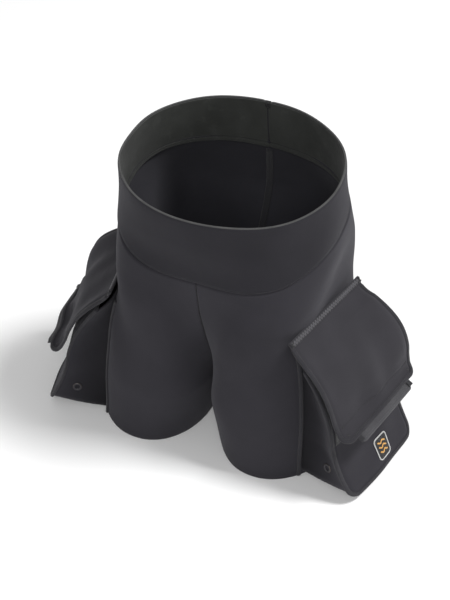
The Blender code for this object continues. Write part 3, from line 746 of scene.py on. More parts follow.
def along_path(points, normals, pitch):
    """Even places along a path: centre, tangent and normal of each."""
    length = lengths_along(points)
    count = max(int(length[-1] / pitch), 1)
    at = (np.arange(count) + 0.5) * length[-1] / count

    def values(distance, vectors):
        return np.stack([np.interp(distance, length, vectors[:, k]) for k in range(3)], -1)
    centre = values(at, points)
    tangent = unit(values(at + pitch / 4, points) - centre)
    return centre, tangent, unit(values(at, normals))


def stitches(points, normals, pitch=0.0028, length=0.0022, radius=0.00028, turn=0.0):
    """A row of sewn stitches that dip into the cloth at their ends."""
    centre, tangent, normal = along_path(points, normals, pitch)
    across = np.cross(normal, tangent)
    tangent, across = (tangent * math.cos(turn) + across * math.sin(turn),
                       across * math.cos(turn) - tangent * math.sin(turn))
    stations = np.linspace(-1, 1, 7)
    swell = np.sqrt(np.maximum(1.02 - stations ** 4, 0.02))
    angles = np.linspace(0, 2 * math.pi, 6, endpoint=False)
    shape = np.array([[(x * length / 2, math.cos(a) * radius * r,
                        math.sin(a) * radius * r + radius * (0.7 - 1.4 * x * x))
                       for a in angles] for x, r in zip(stations, swell)])
    rows, columns = shape.shape[:2]
    shape = shape.reshape(-1, 3)
    points = (centre[:, None] + tangent[:, None] * shape[None, :, :1]
              + across[:, None] * shape[None, :, 1:2]
              + normal[:, None] * shape[None, :, 2:3])
    one = grid_faces(rows, columns, 0, True)
    one.append(tuple(range(columns))[::-1])
    one.append(tuple((rows - 1) * columns + j for j in range(columns)))
    faces = [tuple(v + k * len(shape) for v in face) for k in range(len(centre)) for face in one]
    uv = np.tile(np.stack([shape[:, 0], shape[:, 1]], -1), (len(centre), 1))
    return points.reshape(-1, 3), faces, uv, [0] * len(faces)


def cross_tack(centre, along, normal, size=0.005, radius=0.00045):
    """An X of thread that locks the end of a seam."""
    across = np.cross(normal, along)
    parts = []
    for sign in (-1, 1):
        arm = unit(along + across * sign) * size / 2
        path = centre + normal * radius + np.linspace(-1, 1, 7)[:, None] * arm
        parts.append(tube(path, normal, 2 * radius, 2 * radius, 6, 2.0))
    return joined(parts)


# --------------------------------------------------------- surfaces with folds
FLAP_WAVES = ((0.0019, 0.084, 0.420, 0.9), (0.0010, 0.052, -0.280, 2.2),
              (0.0007, -0.120, 0.090, 1.1))
PANEL_WAVES = ((0.0008, 0.130, 0.150, 1.4), (0.0006, -0.080, 0.110, 0.2))
FLAP_PUFF = 0.0018              # the folds lift the flap off the pocket
HOOK_LOW, HOOK_HIGH = 0.0085, 0.0275
LOCK_LINES = (0.0100, 0.0262)       # stitches that hold the hook tape


def flap_skin(t, s, lift=0.0):
    """Points off the flap, with its folds and its stitched dips."""
    t, s = np.broadcast_arrays(t, s)
    fade = np.clip(1.1 - np.abs(t) / FLAP_HALF_TOP, 0, 0.25) * 4
    fade = fade * np.clip((FLAP_LENGTH - s) / 0.03, 0, 1)
    folds = (ripple(t, s, FLAP_WAVES) + FLAP_PUFF) * fade
    dips = sum(groove(s - line, 0.0011, 0.0015) for line in LOCK_LINES)
    dips = dips * np.clip((FLAP_HALF_LOW - 0.010 - np.abs(t)) / 0.002, 0, 1)
    return raised(flap, t, s, folds + dips + lift)


def panel_skin(t, z, lift=0.0):
    """Points off the pocket's front, with its soft unevenness."""
    fade = np.clip(1.05 - np.abs(t - PANEL_T) / PANEL_HALF, 0, 0.2) * 5
    return raised(panel, t, z, ripple(t, z, PANEL_WAVES) * fade + lift)


# ------------------------------------------------------------------ body pieces
SEAM_DEPTH, SEAM_WIDTH = 0.0014, 0.0012
BAND_STITCH_RISE = 0.0034
HEM_DIP, HEM_WIDTH = 0.0005, 0.003


def make_leg_panels():
    """The two halves of the body, with dipped seams and a rounded hem."""
    u = np.linspace(-1, 1, 151)
    u = np.sign(u) * (1 - (1 - np.abs(u)) ** 1.25)
    top = band_seam_z(u) - 0.0002
    f = np.linspace(0, 1, 170) ** 1.05
    f[-9:] = 1 - (1 - f[-9]) * np.linspace(1, 0, 9)
    u, f = np.meshgrid(u, f)
    z = top[None] * f
    lift = groove((1 - np.abs(u)) * HALF_GIRTH * 1.2, SEAM_DEPTH, SEAM_WIDTH)
    lift = lift + groove(top[None] - z, SEAM_DEPTH, SEAM_WIDTH)
    lift = lift + groove(z, HEM_DIP, HEM_WIDTH)
    skin, normal = body_skin(u, z, lift), body_normal(u, z)
    data = sheet(skin, normal, NEOPRENE, inner_slot=1)
    data[0][:, 0] = np.maximum(data[0][:, 0], 0.0001)
    data[0][:, 2] = np.maximum(data[0][:, 2], 0.0)
    add_pair("leg_panel_cloth", SHORTS, ("outer", "inner"), data, "leg_panel")


def ring_skin(s, z, lift=0.0):
    """Points and normals round the hips: s is 0 in front, -2 or 2 behind."""
    s, z, lift = np.broadcast_arrays(np.asarray(s, float), z, lift)
    swell = ripple(s * HALF_GIRTH, z, BODY_WAVES)
    mirror = np.stack([np.sign(s), np.ones_like(s), np.ones_like(s)], -1)
    normal = body_normal(np.abs(s) - 1, z) * mirror
    points = body(np.abs(s) - 1, z) * mirror
    return points + normal * (swell + lift)[..., None], unit(normal)


def band_grid(low, high, rows):
    """s and z over the waistband, and the heights of its two edges."""
    s = np.linspace(-2, 2, 361)
    bottom = band_seam_z(np.abs(s) - 1) + low
    top = rim_z(np.abs(s) - 1) - high
    f = np.linspace(0, 1, rows)
    f = f - 0.06 * np.sin(2 * math.pi * f)
    z = bottom + (top - bottom) * f[:, None]
    return np.broadcast_to(s, z.shape), z, bottom, top


JOINT_STITCH_OFFSET = 0.006     # in s, to each side of the band's joint


def make_waistband():
    """The waistband, its stitches and its joint behind."""
    s, z, bottom, top = band_grid(0.0002, 0, 60)
    joint = (2 - np.abs(s)) * HALF_GIRTH
    lift = (groove(z - bottom, SEAM_DEPTH, SEAM_WIDTH)
            + groove(z - bottom - BAND_STITCH_RISE, 0.0006, 0.0011)
            + groove(joint, SEAM_DEPTH, SEAM_WIDTH)
            + groove(top - z, 0.0006, 0.0022))
    z = z - 0.0022 * np.exp(-(joint / 0.004) ** 2) * ((z - bottom) / (top - bottom)) ** 6
    # the rim's faces take the foam look: the cut foam, with a painted highlight along the rim
    data = sheet(*ring_skin(s, z, lift), NEOPRENE, inner_slot=1, top_slot=2)
    add_piece("waistband_cloth", SHORTS,
              ("band", "inner", "foam"), data, "waistband_outer")
    s = np.linspace(-1.995, 1.995, 900)
    line = band_seam_z(np.abs(s) - 1) + BAND_STITCH_RISE
    rows = [stitches(*ring_skin(s, line, -0.0005), pitch=0.0030)]
    for sign in (-1, 1):
        at = 2 - JOINT_STITCH_OFFSET
        level = np.linspace(band_seam_z(at - 1) + 0.002, rim_z(at - 1), 60)
        rows.append(stitches(*ring_skin(sign * at, level)))
    add_piece("waistband_stitches", SHORTS, ("thread",), joined(rows))


TACK_THREADS, TACK_PITCH = 11, 0.0007
TACK_HEIGHT, TACK_OVER_RIM = 0.0085, 0.0030


def make_bartack():
    """A dense tack over the rim where the waistband's ends meet."""
    parts = []
    for k in range(TACK_THREADS):
        shift = (k - TACK_THREADS // 2) * TACK_PITCH
        z = np.linspace(rim_z(1) - TACK_HEIGHT, rim_z(1) - 0.0018, 8)
        outside = ring_skin(1.9999, z, 0.0002)[0]
        inside = ring_skin(1.9999, z, -NEOPRENE - 0.0016)[0]
        over = (outside[-1:] + inside[-1:]) / 2 + UP * TACK_OVER_RIM
        path = np.concatenate([outside, over, inside[::-1]])
        parts.append(tube(path + SIDEWAYS * shift, SIDEWAYS, TACK_PITCH, 0.0006, 6, 2.0))
    add_piece("waistband_bartack", SHORTS, ("dark_thread",), joined(parts))


LINING_DEPTH, LINING_THICKNESS = NEOPRENE + 0.00015, 0.0012
LINING_HEM = 0.0052
LINING_LOW, LINING_BELOW_RIM = -0.008, 0.0013   # from the band's seam and rim


def make_lining():
    """The grippy lining inside the waistband, with a stitched hem."""
    s, z, bottom, _ = band_grid(LINING_LOW, LINING_BELOW_RIM, 44)
    hem = 0.5 - 0.5 * np.tanh((z - bottom - LINING_HEM) / 0.0005)
    joint = (2 - np.abs(s)) * HALF_GIRTH
    inward = (LINING_THICKNESS + 0.0007 * hem - 0.0004 * np.exp(-(joint / 0.0014) ** 2))
    skin, normal = ring_skin(s, z, -LINING_DEPTH)
    add_piece("waistband_lining_skin", SHORTS, ("skin",),
              sheet(skin, normal, inward[..., None]), "waistband_lining")
    s = np.linspace(-1.99, 1.99, 900)
    low = band_seam_z(np.abs(s) - 1) + LINING_LOW
    parts = []
    for rise in (0.0022, LINING_HEM + 0.0014):
        points, normal = ring_skin(s, low + rise, -LINING_DEPTH - 0.0019)
        parts.append(stitches(points, -normal, pitch=0.0032))
    add_piece("waistband_lining_stitches", SHORTS, ("thread",), joined(parts))


def middle_line(u, z, inset):
    """Points inside the middle seam, at the front (-1) or the back (1)."""
    along = body(u, z + 0.002) - body(u, z - 0.002)
    inward = unit(np.stack([np.zeros_like(z), -u * along[:, 2], u * along[:, 1]], -1))
    return body(u, z) * (0, 1, 1) + inward * inset, inward


TAPE_WIDTH, TAPE_THICKNESS = 0.010, 0.001
TAPE_SHORT = 0.012              # how far the tapes stop from the other seams


def make_rise():
    """The middle seam: tape inside, crossed stitches on the outside."""
    inset = NEOPRENE + TAPE_THICKNESS
    start = CROTCH_Z + 0.014
    front_top = float(band_seam_z(-1.0)) - TAPE_SHORT
    back_top = float(band_seam_z(1.0)) - TAPE_SHORT
    front = middle_line(-1, np.linspace(front_top, start, 60), inset)[0]
    back = middle_line(1, np.linspace(start, back_top, 60), inset)[0]
    low = body(1, CROTCH_Z) * (0, 1, 1) + UP * 1.6 * inset
    bend = np.linspace(0, 1, 14)[1:-1, None]
    dip = (front[-1] * (1 - bend) ** 2 + low * 2 * bend * (1 - bend) + back[0] * bend ** 2)
    path = np.concatenate([front, dip, back])
    tape = tube(path, SIDEWAYS, TAPE_WIDTH, TAPE_THICKNESS, 16, 5.0)
    add_piece("rise_seam_tape_strip", SHORTS, ("tape",), tape, "rise_seam_tape")
    parts = []
    for u in (-1, 1):
        top = float(band_seam_z(u)) - 0.002
        points, inward = middle_line(u, np.linspace(CROTCH_Z + 0.004, top, 300), 0.0007)
        parts.append(stitches(points, -inward, 0.0020, 0.0024, 0.00022, math.radians(62)))
    add_piece("rise_stitches", SHORTS, ("dark_thread",), joined(parts))


def make_inseam_tapes():
    """The tape inside each leg, over the inner seam."""
    z = np.linspace(0.004, CROTCH_Z - TAPE_SHORT, 24)
    path = body(1, z) + SIDEWAYS * (NEOPRENE + TAPE_THICKNESS)
    tape = tube(path, BACKWARD, TAPE_WIDTH, TAPE_THICKNESS, 16, 5.0)
    add_pair("inseam_tape_strip", SHORTS, ("tape",), tape, "inseam_tape")


# ---------------------------------------------------------------- pocket pieces
BIND_WIDTH, BIND_DEPTH = 0.0066, 0.0046
BIND_REACH = 0.0014         # how far the binding stands past the cloth's edge
BIND_EDGE = BIND_REACH - BIND_WIDTH / 2     # its middle, from that edge
BIND_DIP_IN, BIND_DIP_WIDTH = 0.0060, 0.0013    # the dip along its inner side
BIND_SEAM_OUT, BIND_SEAM_UP = 0.30, 0.43        # its stitches, by its size


def make_fronts():
    """The pockets' front panels with their bound rims."""
    s = levels(PANEL_TOP - PANEL_BOTTOM, PANEL_CORNER, 9, 90)[:, None]
    offset, near = cornered(PANEL_HALF, s, PANEL_CORNER, 91)
    lift = groove(near - BIND_DIP_IN, 0.0012, BIND_DIP_WIDTH)
    data = sheet(*panel_skin(PANEL_T + offset, PANEL_BOTTOM + s, lift), NEOPRENE, inner_slot=1)
    add_pair("pocket_front_cloth", FRONT_BODY,
             ("outer", "inner"), data, "pocket_panel")
    offset, level = outline(PANEL_HALF + BIND_EDGE, PANEL_TOP,
                            PANEL_BOTTOM - BIND_EDGE,
                            PANEL_CORNER + BIND_EDGE)
    bind_edge("panel_binding", FRONT_BODY, *panel_skin(PANEL_T + offset, level, -NEOPRENE / 2))
    t = PANEL_T + np.linspace(-1, 1, 100) * (PANEL_HALF - 0.001)
    bind_edge("mouth_binding", FRONT_BODY, *panel_skin(t, PANEL_TOP - 0.001, -NEOPRENE / 2))


def bind_edge(name, body_name, path, normal):
    """A rolled binding along an edge, with a row of stitches on its rim."""
    tangent = unit(np.gradient(path, axis=0))
    across = np.cross(normal, tangent)
    roll = tube(path, across, BIND_WIDTH, BIND_DEPTH, 18, 2.5)
    seam = (path + across * BIND_WIDTH * BIND_SEAM_OUT + normal * BIND_DEPTH * BIND_SEAM_UP)
    row = stitches(seam, normal, 0.0027, 0.0021)
    add_pair(name + "_tape", body_name,
             ("binding", "thread"), joined([roll], [row]), name)


def make_flaps():
    """The flaps, their bindings, their lock stitches and their tacks."""
    s = levels(FLAP_LENGTH - 0.0004, FLAP_CORNER, 9, 110)[:, None]
    t, near = cornered(flap_half(s), s, FLAP_CORNER, 101)
    lift = groove(near - BIND_DIP_IN, 0.0013, BIND_DIP_WIDTH)
    add_pair("flap_cloth", FLAP_BODY, ("flap", "inner"),
             sheet(*flap_skin(t, s, lift), NEOPRENE, inner_slot=1), "flap")
    offset, level = outline(FLAP_HALF_LOW + BIND_EDGE, FLAP_LENGTH - 0.004,
                            -BIND_EDGE, FLAP_CORNER + BIND_EDGE, 260)
    offset = offset * flap_half(level) / FLAP_HALF_LOW
    bind_edge("flap_binding", FLAP_BODY, *flap_skin(offset, level, -NEOPRENE / 2))
    parts = []
    reach = FLAP_HALF_LOW - 0.0125
    for line in LOCK_LINES:
        t = np.linspace(-reach, reach, 400)
        points, normal = flap_skin(t, line, 0.0001)
        parts.append(stitches(points, normal, 0.0029, 0.0022, 0.0003))
        for end in (0, -1):
            parts.append(cross_tack(points[end], ALONG, normal[end]))
    add_pair("flap_stitches", FLAP_BODY, ("dark_thread",), joined(parts))


STRIP_HEIGHT, STRIP_DEPTH = 0.0096, 0.0032
STRIP_OUT, STRIP_UP = -0.0028, 0.0038
STRIP_LEAN = 0.8                # how far it leans in for each metre up
ZIGZAG_PITCH, ZIGZAG_POINTS, ZIGZAG_REACH = 0.0052, 6, 0.36


def make_flap_seams():
    """The raised strips over the flaps' top edges, with zigzag stitches."""
    half = FLAP_HALF_TOP + 0.0005
    lean, face = unit(UP - OUT * STRIP_LEAN), unit(OUT + UP * STRIP_LEAN)
    t = np.linspace(-half, half, 120)
    path = pocket(t, STRIP_OUT, STRIP_UP)
    strip = tube(path, lean, STRIP_HEIGHT, STRIP_DEPTH, 18, 3.0)
    count = int(2 * half / ZIGZAG_PITCH * 2)
    t = np.linspace(-half + 0.004, half - 0.004, count * ZIGZAG_POINTS)
    swing = np.linspace(0, count, count * ZIGZAG_POINTS) % 2
    swing = np.abs(swing - 1) * 2 - 1
    path = (pocket(t, STRIP_OUT, STRIP_UP) + face * (STRIP_DEPTH / 2 + 0.0001)
            + lean * (swing * STRIP_HEIGHT * ZIGZAG_REACH)[:, None])
    thread = tube(path, face, 0.0012, 0.0017, 6, 2.0)
    ends = pocket(np.array([0.003 - half, half - 0.003]), STRIP_OUT, STRIP_UP)
    tacks = [cross_tack(end + face * STRIP_DEPTH / 2, ALONG, face, 0.0085,
                        0.0006) for end in ends]
    add_pair("flap_seam_tape", SHORTS,
             ("binding", "pale_thread", "dark_thread"),
             joined([strip], [thread], tacks), "flap_seam_strip")


def patch_data(skin, t_low, t_high, low, high, lift, thickness, columns=80, rows=14):
    """A thin strip lying on a surface, and its grid of skin points."""
    t = np.linspace(t_low, t_high, columns)[None]
    s = np.linspace(low, high, rows)[:, None]
    points, normal = skin(t, s, lift + thickness)
    return sheet(points, normal, thickness, round_edge=0.5), points, normal


def border_stitches(points, normal, inset_rows=1):
    """Rows of stitches along the two long edges of a strip."""
    return [stitches(points[row], normal[row]) for row in (inset_rows, -1 - inset_rows)]


HOOK_THICKNESS = 0.0012
LOOP_LOW, LOOP_HIGH = -0.137, -0.117


def make_closures():
    """The hook tapes under the flaps and the loop tapes on the pockets."""
    half = PANEL_HALF - 0.008
    data, points, normal = patch_data(
        flap_skin, PANEL_T - half, PANEL_T + half, HOOK_LOW, HOOK_HIGH,
        -NEOPRENE - HOOK_THICKNESS, HOOK_THICKNESS)
    under = points - normal * (HOOK_THICKNESS + 0.0001)
    add_pair("hook_tape_pile", FLAP_BODY, ("hook", "thread"),
             joined([data], border_stitches(under, -normal)), "hook_tape")
    data, points, normal = patch_data(
        panel_skin, PANEL_T - half, PANEL_T + half, LOOP_LOW, LOOP_HIGH,
        0.0001, HOOK_THICKNESS)
    add_pair("loop_tape_pile", FRONT_BODY, ("loop", "thread"),
             joined([data], border_stitches(points, normal)), "loop_tape")


PULL_HALF, PULL_OUT, PULL_IN, PULL_THICKNESS = 0.066, 0.0115, 0.008, 0.0016
PULL_TAPER, PULL_TAPER_RISE = 0.007, 0.0035     # its lower corners
PULL_WAVE, PULL_WAVE_TURN, PULL_RIB = 0.0005, 95, 0.00035
TAB_OUT, TAB_ON, TAB_BELOW = 0.003, 0.004, 0.0085


def make_pull_strips():
    """The webbing under the flaps' lower edges, with its end tabs."""
    lift = -(NEOPRENE + BIND_DEPTH) / 2 - PULL_THICKNESS - 0.0002
    t = np.linspace(-PULL_HALF, PULL_HALF, 110)[None]
    share = np.linspace(0, 1, 22)[:, None]
    end = np.clip((np.abs(t) - PULL_HALF + PULL_TAPER) / PULL_TAPER, 0, 1)
    low = -PULL_OUT + PULL_TAPER_RISE * end ** 3
    s = low + (PULL_IN - low) * share
    wave_lift = PULL_WAVE * np.sin(t * PULL_WAVE_TURN) * (1 - share)
    rib = PULL_RIB * np.abs(np.sin(share * math.pi * 5))
    points, normal = flap_skin(t, s, lift + wave_lift + rib)
    data = sheet(points, normal, PULL_THICKNESS, round_edge=0.5)
    row = stitches(points[3, 4:-4], normal[3, 4:-4], 0.0030)
    tabs = [patch_data(flap_skin, low_t, low_t + TAB_OUT + TAB_ON,
                       -TAB_BELOW, PULL_IN, lift + PULL_THICKNESS + 0.0001,
                       0.0010, 10, 12)[0]
            for low_t in (-PULL_HALF - TAB_OUT, PULL_HALF - TAB_ON)]
    add_pair("pull_strip_webbing", FLAP_BODY,
             ("webbing", "pale_thread", "tape"),
             joined([data], [row], tabs), "pull_strip")


RIDGE_WIDTH, RIDGE_DEPTH, RIDGE_CLEAR = 0.0064, 0.0038, 0.0015
RIDGE_LOW, RIDGE_HIGH = 0.0015, 0.206
RIDGE_SEAM_OUT = 0.36           # its stitches, by its width


def leg_line(which, z):
    """t of the gusset's front (0) or back (1) seam on the leg."""
    share = z / LEG_LINE_TOP_Z
    return LEG_LINE_LOW[which] * (1 - share) + LEG_LINE_TOP[which] * share


def make_base_strips():
    """The raised strips that bind the gussets' seams on the legs."""
    for place, which, way in (("front", 0, -1), ("back", 1, 1)):
        z = np.linspace(RIDGE_LOW, RIDGE_HIGH, 150)
        t = leg_line(which, z) + way * (RIDGE_CLEAR + RIDGE_WIDTH / 2)
        path, normal = leg(t, z, 0.0010)
        across = leg(t + 0.001, z)[0] - leg(t - 0.001, z)[0]
        ridge = tube(path, across, RIDGE_WIDTH, RIDGE_DEPTH, 20, 2.3)
        edge = leg(t + way * RIDGE_WIDTH * RIDGE_SEAM_OUT, z, 0.0021)[0]
        row = stitches(edge, normal, 0.0028, 0.0021, 0.00025)
        add_pair(f"{place}_base_ridge", SHORTS,
                 ("binding", "thread"), joined([ridge], [row]),
                 f"{place}_base_strip")


def u_path(half, top, bottom, turn_offset, turn_level):
    """A U whose front and back halves have matching points."""
    sides = np.linspace(top, bottom + turn_level, 60)
    turn = np.radians(np.linspace(0, 90, 14))[1:-1]
    floor = np.linspace(-half + turn_offset, half - turn_offset, 70)
    offset = np.concatenate([np.full(60, -half), -half + turn_offset * (1 - np.cos(turn))])
    level = np.concatenate([sides, bottom + turn_level * (1 - np.sin(turn))])
    return (np.concatenate([offset, floor, -offset[::-1]]),
            np.concatenate([level, np.full(70, bottom), level[::-1]]))


GUSSET_LEG_TOP, GUSSET_LEG_BOTTOM = 0.2240, 0.0035
GUSSET_U_MIDDLE = -0.122        # z of the point that the folds sink towards
GUSSET_SAG, GUSSET_SAG_SHARE = 0.013, 0.2       # at most, and of its depth


def gusset_ends():
    """The gusset's two edges: on the leg and behind the pocket's front."""
    offset, z = u_path(1, GUSSET_LEG_TOP, GUSSET_LEG_BOTTOM, 0.13, 0.012)
    front, back = leg_line(0, z), leg_line(1, z)
    t = front + (back - front) * (offset + 1) / 2
    at_leg = leg(t, z, 0.0012)[0]
    sink = pocket(0, -HINGE_N, GUSSET_U_MIDDLE) - pocket(t, -HINGE_N, z - HINGE[2])
    offset, z = u_path(PANEL_HALF - 0.002, PANEL_TOP - 0.0008,
                       PANEL_BOTTOM + 0.002, PANEL_CORNER, PANEL_CORNER)
    at_front = panel_skin(PANEL_T + offset, z, -NEOPRENE - 0.0006)[0]
    return at_leg, at_front, unit(sink)


def gusset_surface(f):
    """The gusset's middle surface at shares f of the way to the front."""
    at_leg, at_front, sink = gusset_ends()
    f = np.asarray(f, float)[:, None, None]
    depth = np.linalg.norm(at_front - at_leg, axis=-1)[None, :, None]
    side = np.clip((at_leg[:, 2] - 0.006) / 0.05, 0, 1)[None, :, None]
    sag = np.sin(math.pi * f ** 0.8) * np.minimum(depth * GUSSET_SAG_SHARE, GUSSET_SAG)
    sag = sag * side - 0.002 * np.sin(math.pi * f) * (1 - side)
    return at_leg * (1 - f) + at_front * f + sink * sag


def grid_normals(grid):
    """Outward unit normals of a grid of points."""
    return unit(np.cross(np.gradient(grid, axis=1), np.gradient(grid, axis=0)))


EYELET_SHARE, EYELET_COLUMN = 0.625, 54
EYELET_OUTER, EYELET_BARREL, EYELET_INNER = 0.0068, 0.0048, 0.0036


def eyelet_place():
    """The eyelet's centre and direction in the front gusset wall."""
    grid = gusset_surface(np.array([-0.02, 0, 0.02]) + EYELET_SHARE)
    return grid[1, EYELET_COLUMN], grid_normals(grid)[1, EYELET_COLUMN]


def bend_with_front(pieces, shares):
    """Lay out a left and a right piece's points flat by share for a moment, bake each piece's
    transform, then put its points back as they were.
    """
    for piece, (side_name, _) in zip(pieces, SIDES):
        mesh = piece.data
        place = np.zeros(len(mesh.vertices) * 3)
        mesh.vertices.foreach_get("co", place)
        flat = np.zeros((len(mesh.vertices), 3))
        flat[:, 0] = shares
        mesh.vertices.foreach_set("co", flat.ravel())
        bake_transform(piece)
        mesh.vertices.foreach_set("co", place)
        mesh.update()


def make_gussets():
    """The concave folding walls round the pockets."""
    f = np.linspace(0, 1, 40)
    grid = gusset_surface(f)
    normal = grid_normals(grid)
    rows, columns = grid.shape[:2]
    data = sheet(grid + normal * GUSSET_THICKNESS / 2, normal, GUSSET_THICKNESS, inner_slot=1)
    shares = np.repeat(f, columns)
    rim = shares[perimeter(rows, columns)]
    pieces = add_pair("gusset_cloth", None, ("gusset", "inner"), data, "gusset")
    bend_with_front(pieces, np.concatenate([shares, shares, rim, rim, rim]))


def ring_profile():
    """Radius and height round the eyelet's section, one side then other."""
    half, roll = 0.0014, 0.0009
    wide = (EYELET_OUTER + EYELET_INNER) / 2
    reach = (EYELET_OUTER - EYELET_INNER) / 2
    angles = np.radians(np.linspace(180, 0, 9))
    top = [(wide + reach * math.cos(a), half + roll * math.sin(a)) for a in angles]
    waist = [(EYELET_OUTER - 0.0006, half - 0.0004), (EYELET_BARREL, 0.0008)]
    upper = top + waist
    return np.array(upper + [(radius, -height) for radius, height in upper[::-1]])


def make_eyelets():
    """The rolled drain eyelets."""
    centre, axis = eyelet_place()
    across = unit(np.cross(axis, UP))
    up = np.cross(axis, across)
    profile = ring_profile()
    segments, count = 40, len(profile)
    angles = np.linspace(0, 2 * math.pi, segments, endpoint=False)
    spoke = (across * np.cos(angles)[:, None] + up * np.sin(angles)[:, None])
    points = (centre + spoke[:, None] * profile[None, :, :1] + axis * profile[None, :, 1:])
    faces = [(i * count + (j + 1) % count,
              (i + 1) % segments * count + (j + 1) % count,
              (i + 1) % segments * count + j, i * count + j)
             for i in range(segments) for j in range(count)]
    uv = np.stack(np.broadcast_arrays(angles[:, None] * 0.005, profile[None, :, 0]), -1)
    data = (points.reshape(-1, 3), faces, uv.reshape(-1, 2), [0] * len(faces))
    pieces = add_pair("drain_eyelet_ring", None, ("brass",), data, "drain_eyelet")
    bend_with_front(pieces, EYELET_SHARE)


ANCHOR_WIDTH, ANCHOR_HEIGHT, ANCHOR_THICKNESS = 0.046, 0.014, 0.0018
LOOP_Z, LOOP_HALF, LOOP_DROP, LOOP_LEAN = 0.158, 0.016, 0.042, 0.24
CORD_RADIUS = 0.0022


def make_anchor_tabs():
    """The tabs on the legs that hold the elastic loops."""
    t, z = np.meshgrid(
        np.linspace(-0.5, 0.5, 40) * ANCHOR_WIDTH,
        np.linspace(-0.5, 0.5, 14) * ANCHOR_HEIGHT + LOOP_Z)
    hump = np.exp(-((np.abs(t) - LOOP_HALF) / 0.003) ** 2) * CORD_RADIUS * 0.5
    points, normal = leg(t, z, 0.0002 + ANCHOR_THICKNESS)
    points = points + normal * hump[..., None]
    add_pair("loop_anchor_tab", SHORTS, ("tape", "thread"),
             joined([sheet(points, normal, ANCHOR_THICKNESS)],
                    border_stitches(points, normal, 2)), "loop_anchor")


def make_cord_loops():
    """The elastic loops inside the pockets."""
    straight = LOOP_DROP - LOOP_HALF
    start = LOOP_Z - ANCHOR_HEIGHT / 2 + 0.003
    turn = np.linspace(0, math.pi, 40)
    offset = np.concatenate([np.full(12, -1), -np.cos(turn), np.full(12, 1)])
    low = LOOP_Z - ANCHOR_HEIGHT / 2 - straight
    side_z = np.linspace(start, low, 13)[:-1]
    z = np.concatenate([side_z, low - LOOP_HALF * np.sin(turn), side_z[::-1]])
    reach = ANCHOR_THICKNESS + CORD_RADIUS + 0.0012
    hang = (leg(0.0, np.array(LOOP_Z), reach)[0] - HINGE) @ OUT
    path = pocket(offset * LOOP_HALF, hang + (LOOP_Z - z) * LOOP_LEAN, z - HINGE[2])
    cord = tube(path, OUT, 2 * CORD_RADIUS, 2 * CORD_RADIUS, 16, 2.0)
    add_pair("cord_loop_braid", LOOP_BODY, ("cord",), cord, "cord_loop")


BADGE_T, BADGE_Z = 0.0035, 0.036
BADGE_WIDTH, BADGE_HEIGHT, BADGE_CORNER = 0.026, 0.031, 0.005
BADGE_WAVES = (-0.0068, 0.0, 0.0068)
BADGE_WAVE_HALF, BADGE_WAVE_HEIGHT, BADGE_WAVE_TURN = 0.0078, 0.0013, 660


def make_badge():
    """A plain woven badge: a bound rectangle with three waves."""
    def place(x, y, lift):
        return panel_skin(BADGE_T + x, BADGE_Z - HINGE[2] + y, lift)
    rows = levels(BADGE_HEIGHT / 2, BADGE_CORNER, 7, 16)
    rows = np.concatenate([rows, BADGE_HEIGHT - rows[-2::-1]])[:, None]
    x, _ = cornered(BADGE_WIDTH / 2, np.minimum(rows, BADGE_HEIGHT - rows), BADGE_CORNER, 33)
    ground = sheet(*place(x, rows - BADGE_HEIGHT / 2, 0.0011), 0.0010)
    half, tall, turn = BADGE_WIDTH / 2, BADGE_HEIGHT / 2, BADGE_CORNER
    corner = np.linspace(0, math.pi / 2, 12)
    xs, ys = [], []
    for k, (sx, sy) in enumerate(((1, 1), (-1, 1), (-1, -1), (1, -1))):
        angle = corner + k * math.pi / 2
        xs.append(sx * (half - turn) + turn * np.cos(angle))
        ys.append(sy * (tall - turn) + turn * np.sin(angle))
    xs, ys = np.concatenate(xs), np.concatenate(ys)
    path, normal = place(xs, ys, 0.0008)
    across = np.cross(normal, unit(np.roll(path, -1, 0) - np.roll(path, 1, 0)))
    rim = tube(path, across, 0.0020, 0.0018, 12, 2.0, closed=True)
    waves = []
    for level in BADGE_WAVES:
        x = np.linspace(-BADGE_WAVE_HALF, BADGE_WAVE_HALF, 60)
        y = level + BADGE_WAVE_HEIGHT * np.sin(x * BADGE_WAVE_TURN)
        path, normal = place(x, y, 0.0013)
        across = np.cross(normal, unit(np.gradient(path, axis=0)))
        waves.append(tube(path, across, 0.0024, 0.0010, 10, 2.4))
    add_piece("left_badge_weave", "left_pocket_front",
              ("badge_ground", "badge_rim", "badge_wave"),
              joined([ground], [rim], waves), "left_badge")


def make_garment():
    """Every piece of the shorts."""
    make_waistband()
    make_lining()
    make_bartack()
    make_rise()
    make_leg_panels()
    make_inseam_tapes()
    make_fronts()
    make_flaps()
    make_flap_seams()
    make_closures()
    make_pull_strips()
    make_base_strips()
    make_gussets()
    make_eyelets()
    make_anchor_tabs()
    make_cord_loops()
    make_badge()


# ------------------------------------------------------------------------ stage
def floor_material():
    """A pale plain floor."""
    made, _, shader = new_material("stage_white", 0.9, specular=0.1)
    shader.inputs["Base Color"].default_value = (0.95, 0.95, 0.95, 1)
    return made


def add_light(name, place, target, size, power):
    """A square softbox aimed at a point."""
    lamp = bpy.data.lights.new(name, "AREA")
    lamp.shape = "SQUARE"
    lamp.size = size
    lamp.energy = power
    made = bpy.data.objects.new(name, lamp)
    aim(made, place, target)
    bpy.context.scene.collection.objects.link(made)


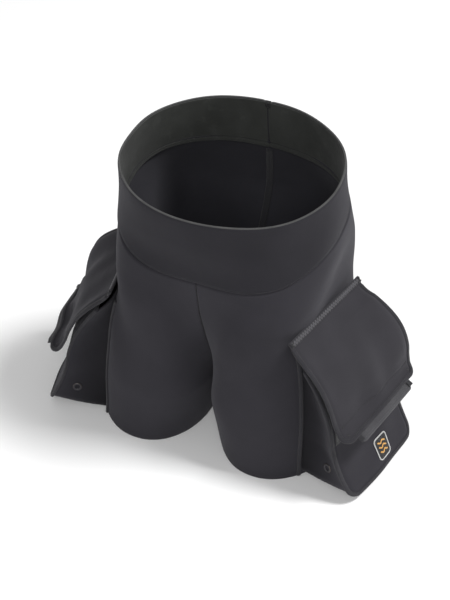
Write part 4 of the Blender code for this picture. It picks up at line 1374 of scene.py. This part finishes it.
def aim(thing, place, target, roll=0.0):
    """Put a lamp or the camera somewhere, looking at a point."""
    forward = unit(np.array(target, float) - np.array(place, float))
    right = unit(np.cross(forward, UP))
    up = np.cross(right, forward)
    c, s = math.cos(roll), math.sin(roll)
    right, up = right * c + up * s, up * c - right * s
    turn = np.identity(4)
    turn[:3, 0], turn[:3, 1], turn[:3, 2] = right, up, -forward
    turn[:3, 3] = place
    thing.matrix_world = Matrix(turn.tolist())


MIDDLE = (CAD_LOW[0] + CAD_HIGH[0]) / 2, (CAD_LOW[1] + CAD_HIGH[1]) / 2
CAMERA_TARGET = (MIDDLE[0] + 0.008, MIDDLE[1] - 0.0385, 0.217)
CAMERA_AZIMUTH, CAMERA_ELEVATION, CAMERA_ROLL = 24.9, 40.8, -0.9
CAMERA_DISTANCE, CAMERA_LENS = 1.619, 70.65


def make_camera():
    """The three-quarter view from above."""
    a, e = math.radians(CAMERA_AZIMUTH), math.radians(CAMERA_ELEVATION)
    back = np.array([math.sin(a) * math.cos(e), -math.cos(a) * math.cos(e), math.sin(e)])
    camera = bpy.data.objects.new("camera", bpy.data.cameras.new("camera"))
    camera.data.lens = CAMERA_LENS
    camera.data.sensor_fit = "AUTO"
    aim(camera, np.array(CAMERA_TARGET) + back * CAMERA_DISTANCE,
        CAMERA_TARGET, math.radians(CAMERA_ROLL))
    bpy.context.scene.collection.objects.link(camera)
    bpy.context.scene.camera = camera


DAYLIGHT = 0.36                 # the backdrop itself looks white


def make_stage():
    """Floor, daylight and softboxes."""
    bpy.ops.mesh.primitive_plane_add(size=30, location=(0, 0, -0.0005))
    floor = bpy.context.object
    floor.name = "floor"
    floor.data.materials.append(floor_material())
    world = bpy.data.worlds.new("studio")
    world.use_nodes = True
    tree = world.node_tree
    sky = tree.nodes["Background"]
    sky.inputs["Color"].default_value = (1, 1, 1, 1)
    seen = node(tree, "ShaderNodeLightPath").outputs["Is Camera Ray"]
    tree.links.new(maths(tree, "MULTIPLY_ADD", seen, 1 - DAYLIGHT, DAYLIGHT),
                   sky.inputs["Strength"])
    bpy.context.scene.world = world
    add_light("key", (2.9, 1.1, 5.4), (0, 0, 0.1), 1.3, 305)
    add_light("fill", (1.2, -4.2, 3.8), (0, 0, 0.2), 2.5, 125)
    bpy.context.scene.view_settings.view_transform = "Standard"


make_garment()
make_stage()
make_camera()
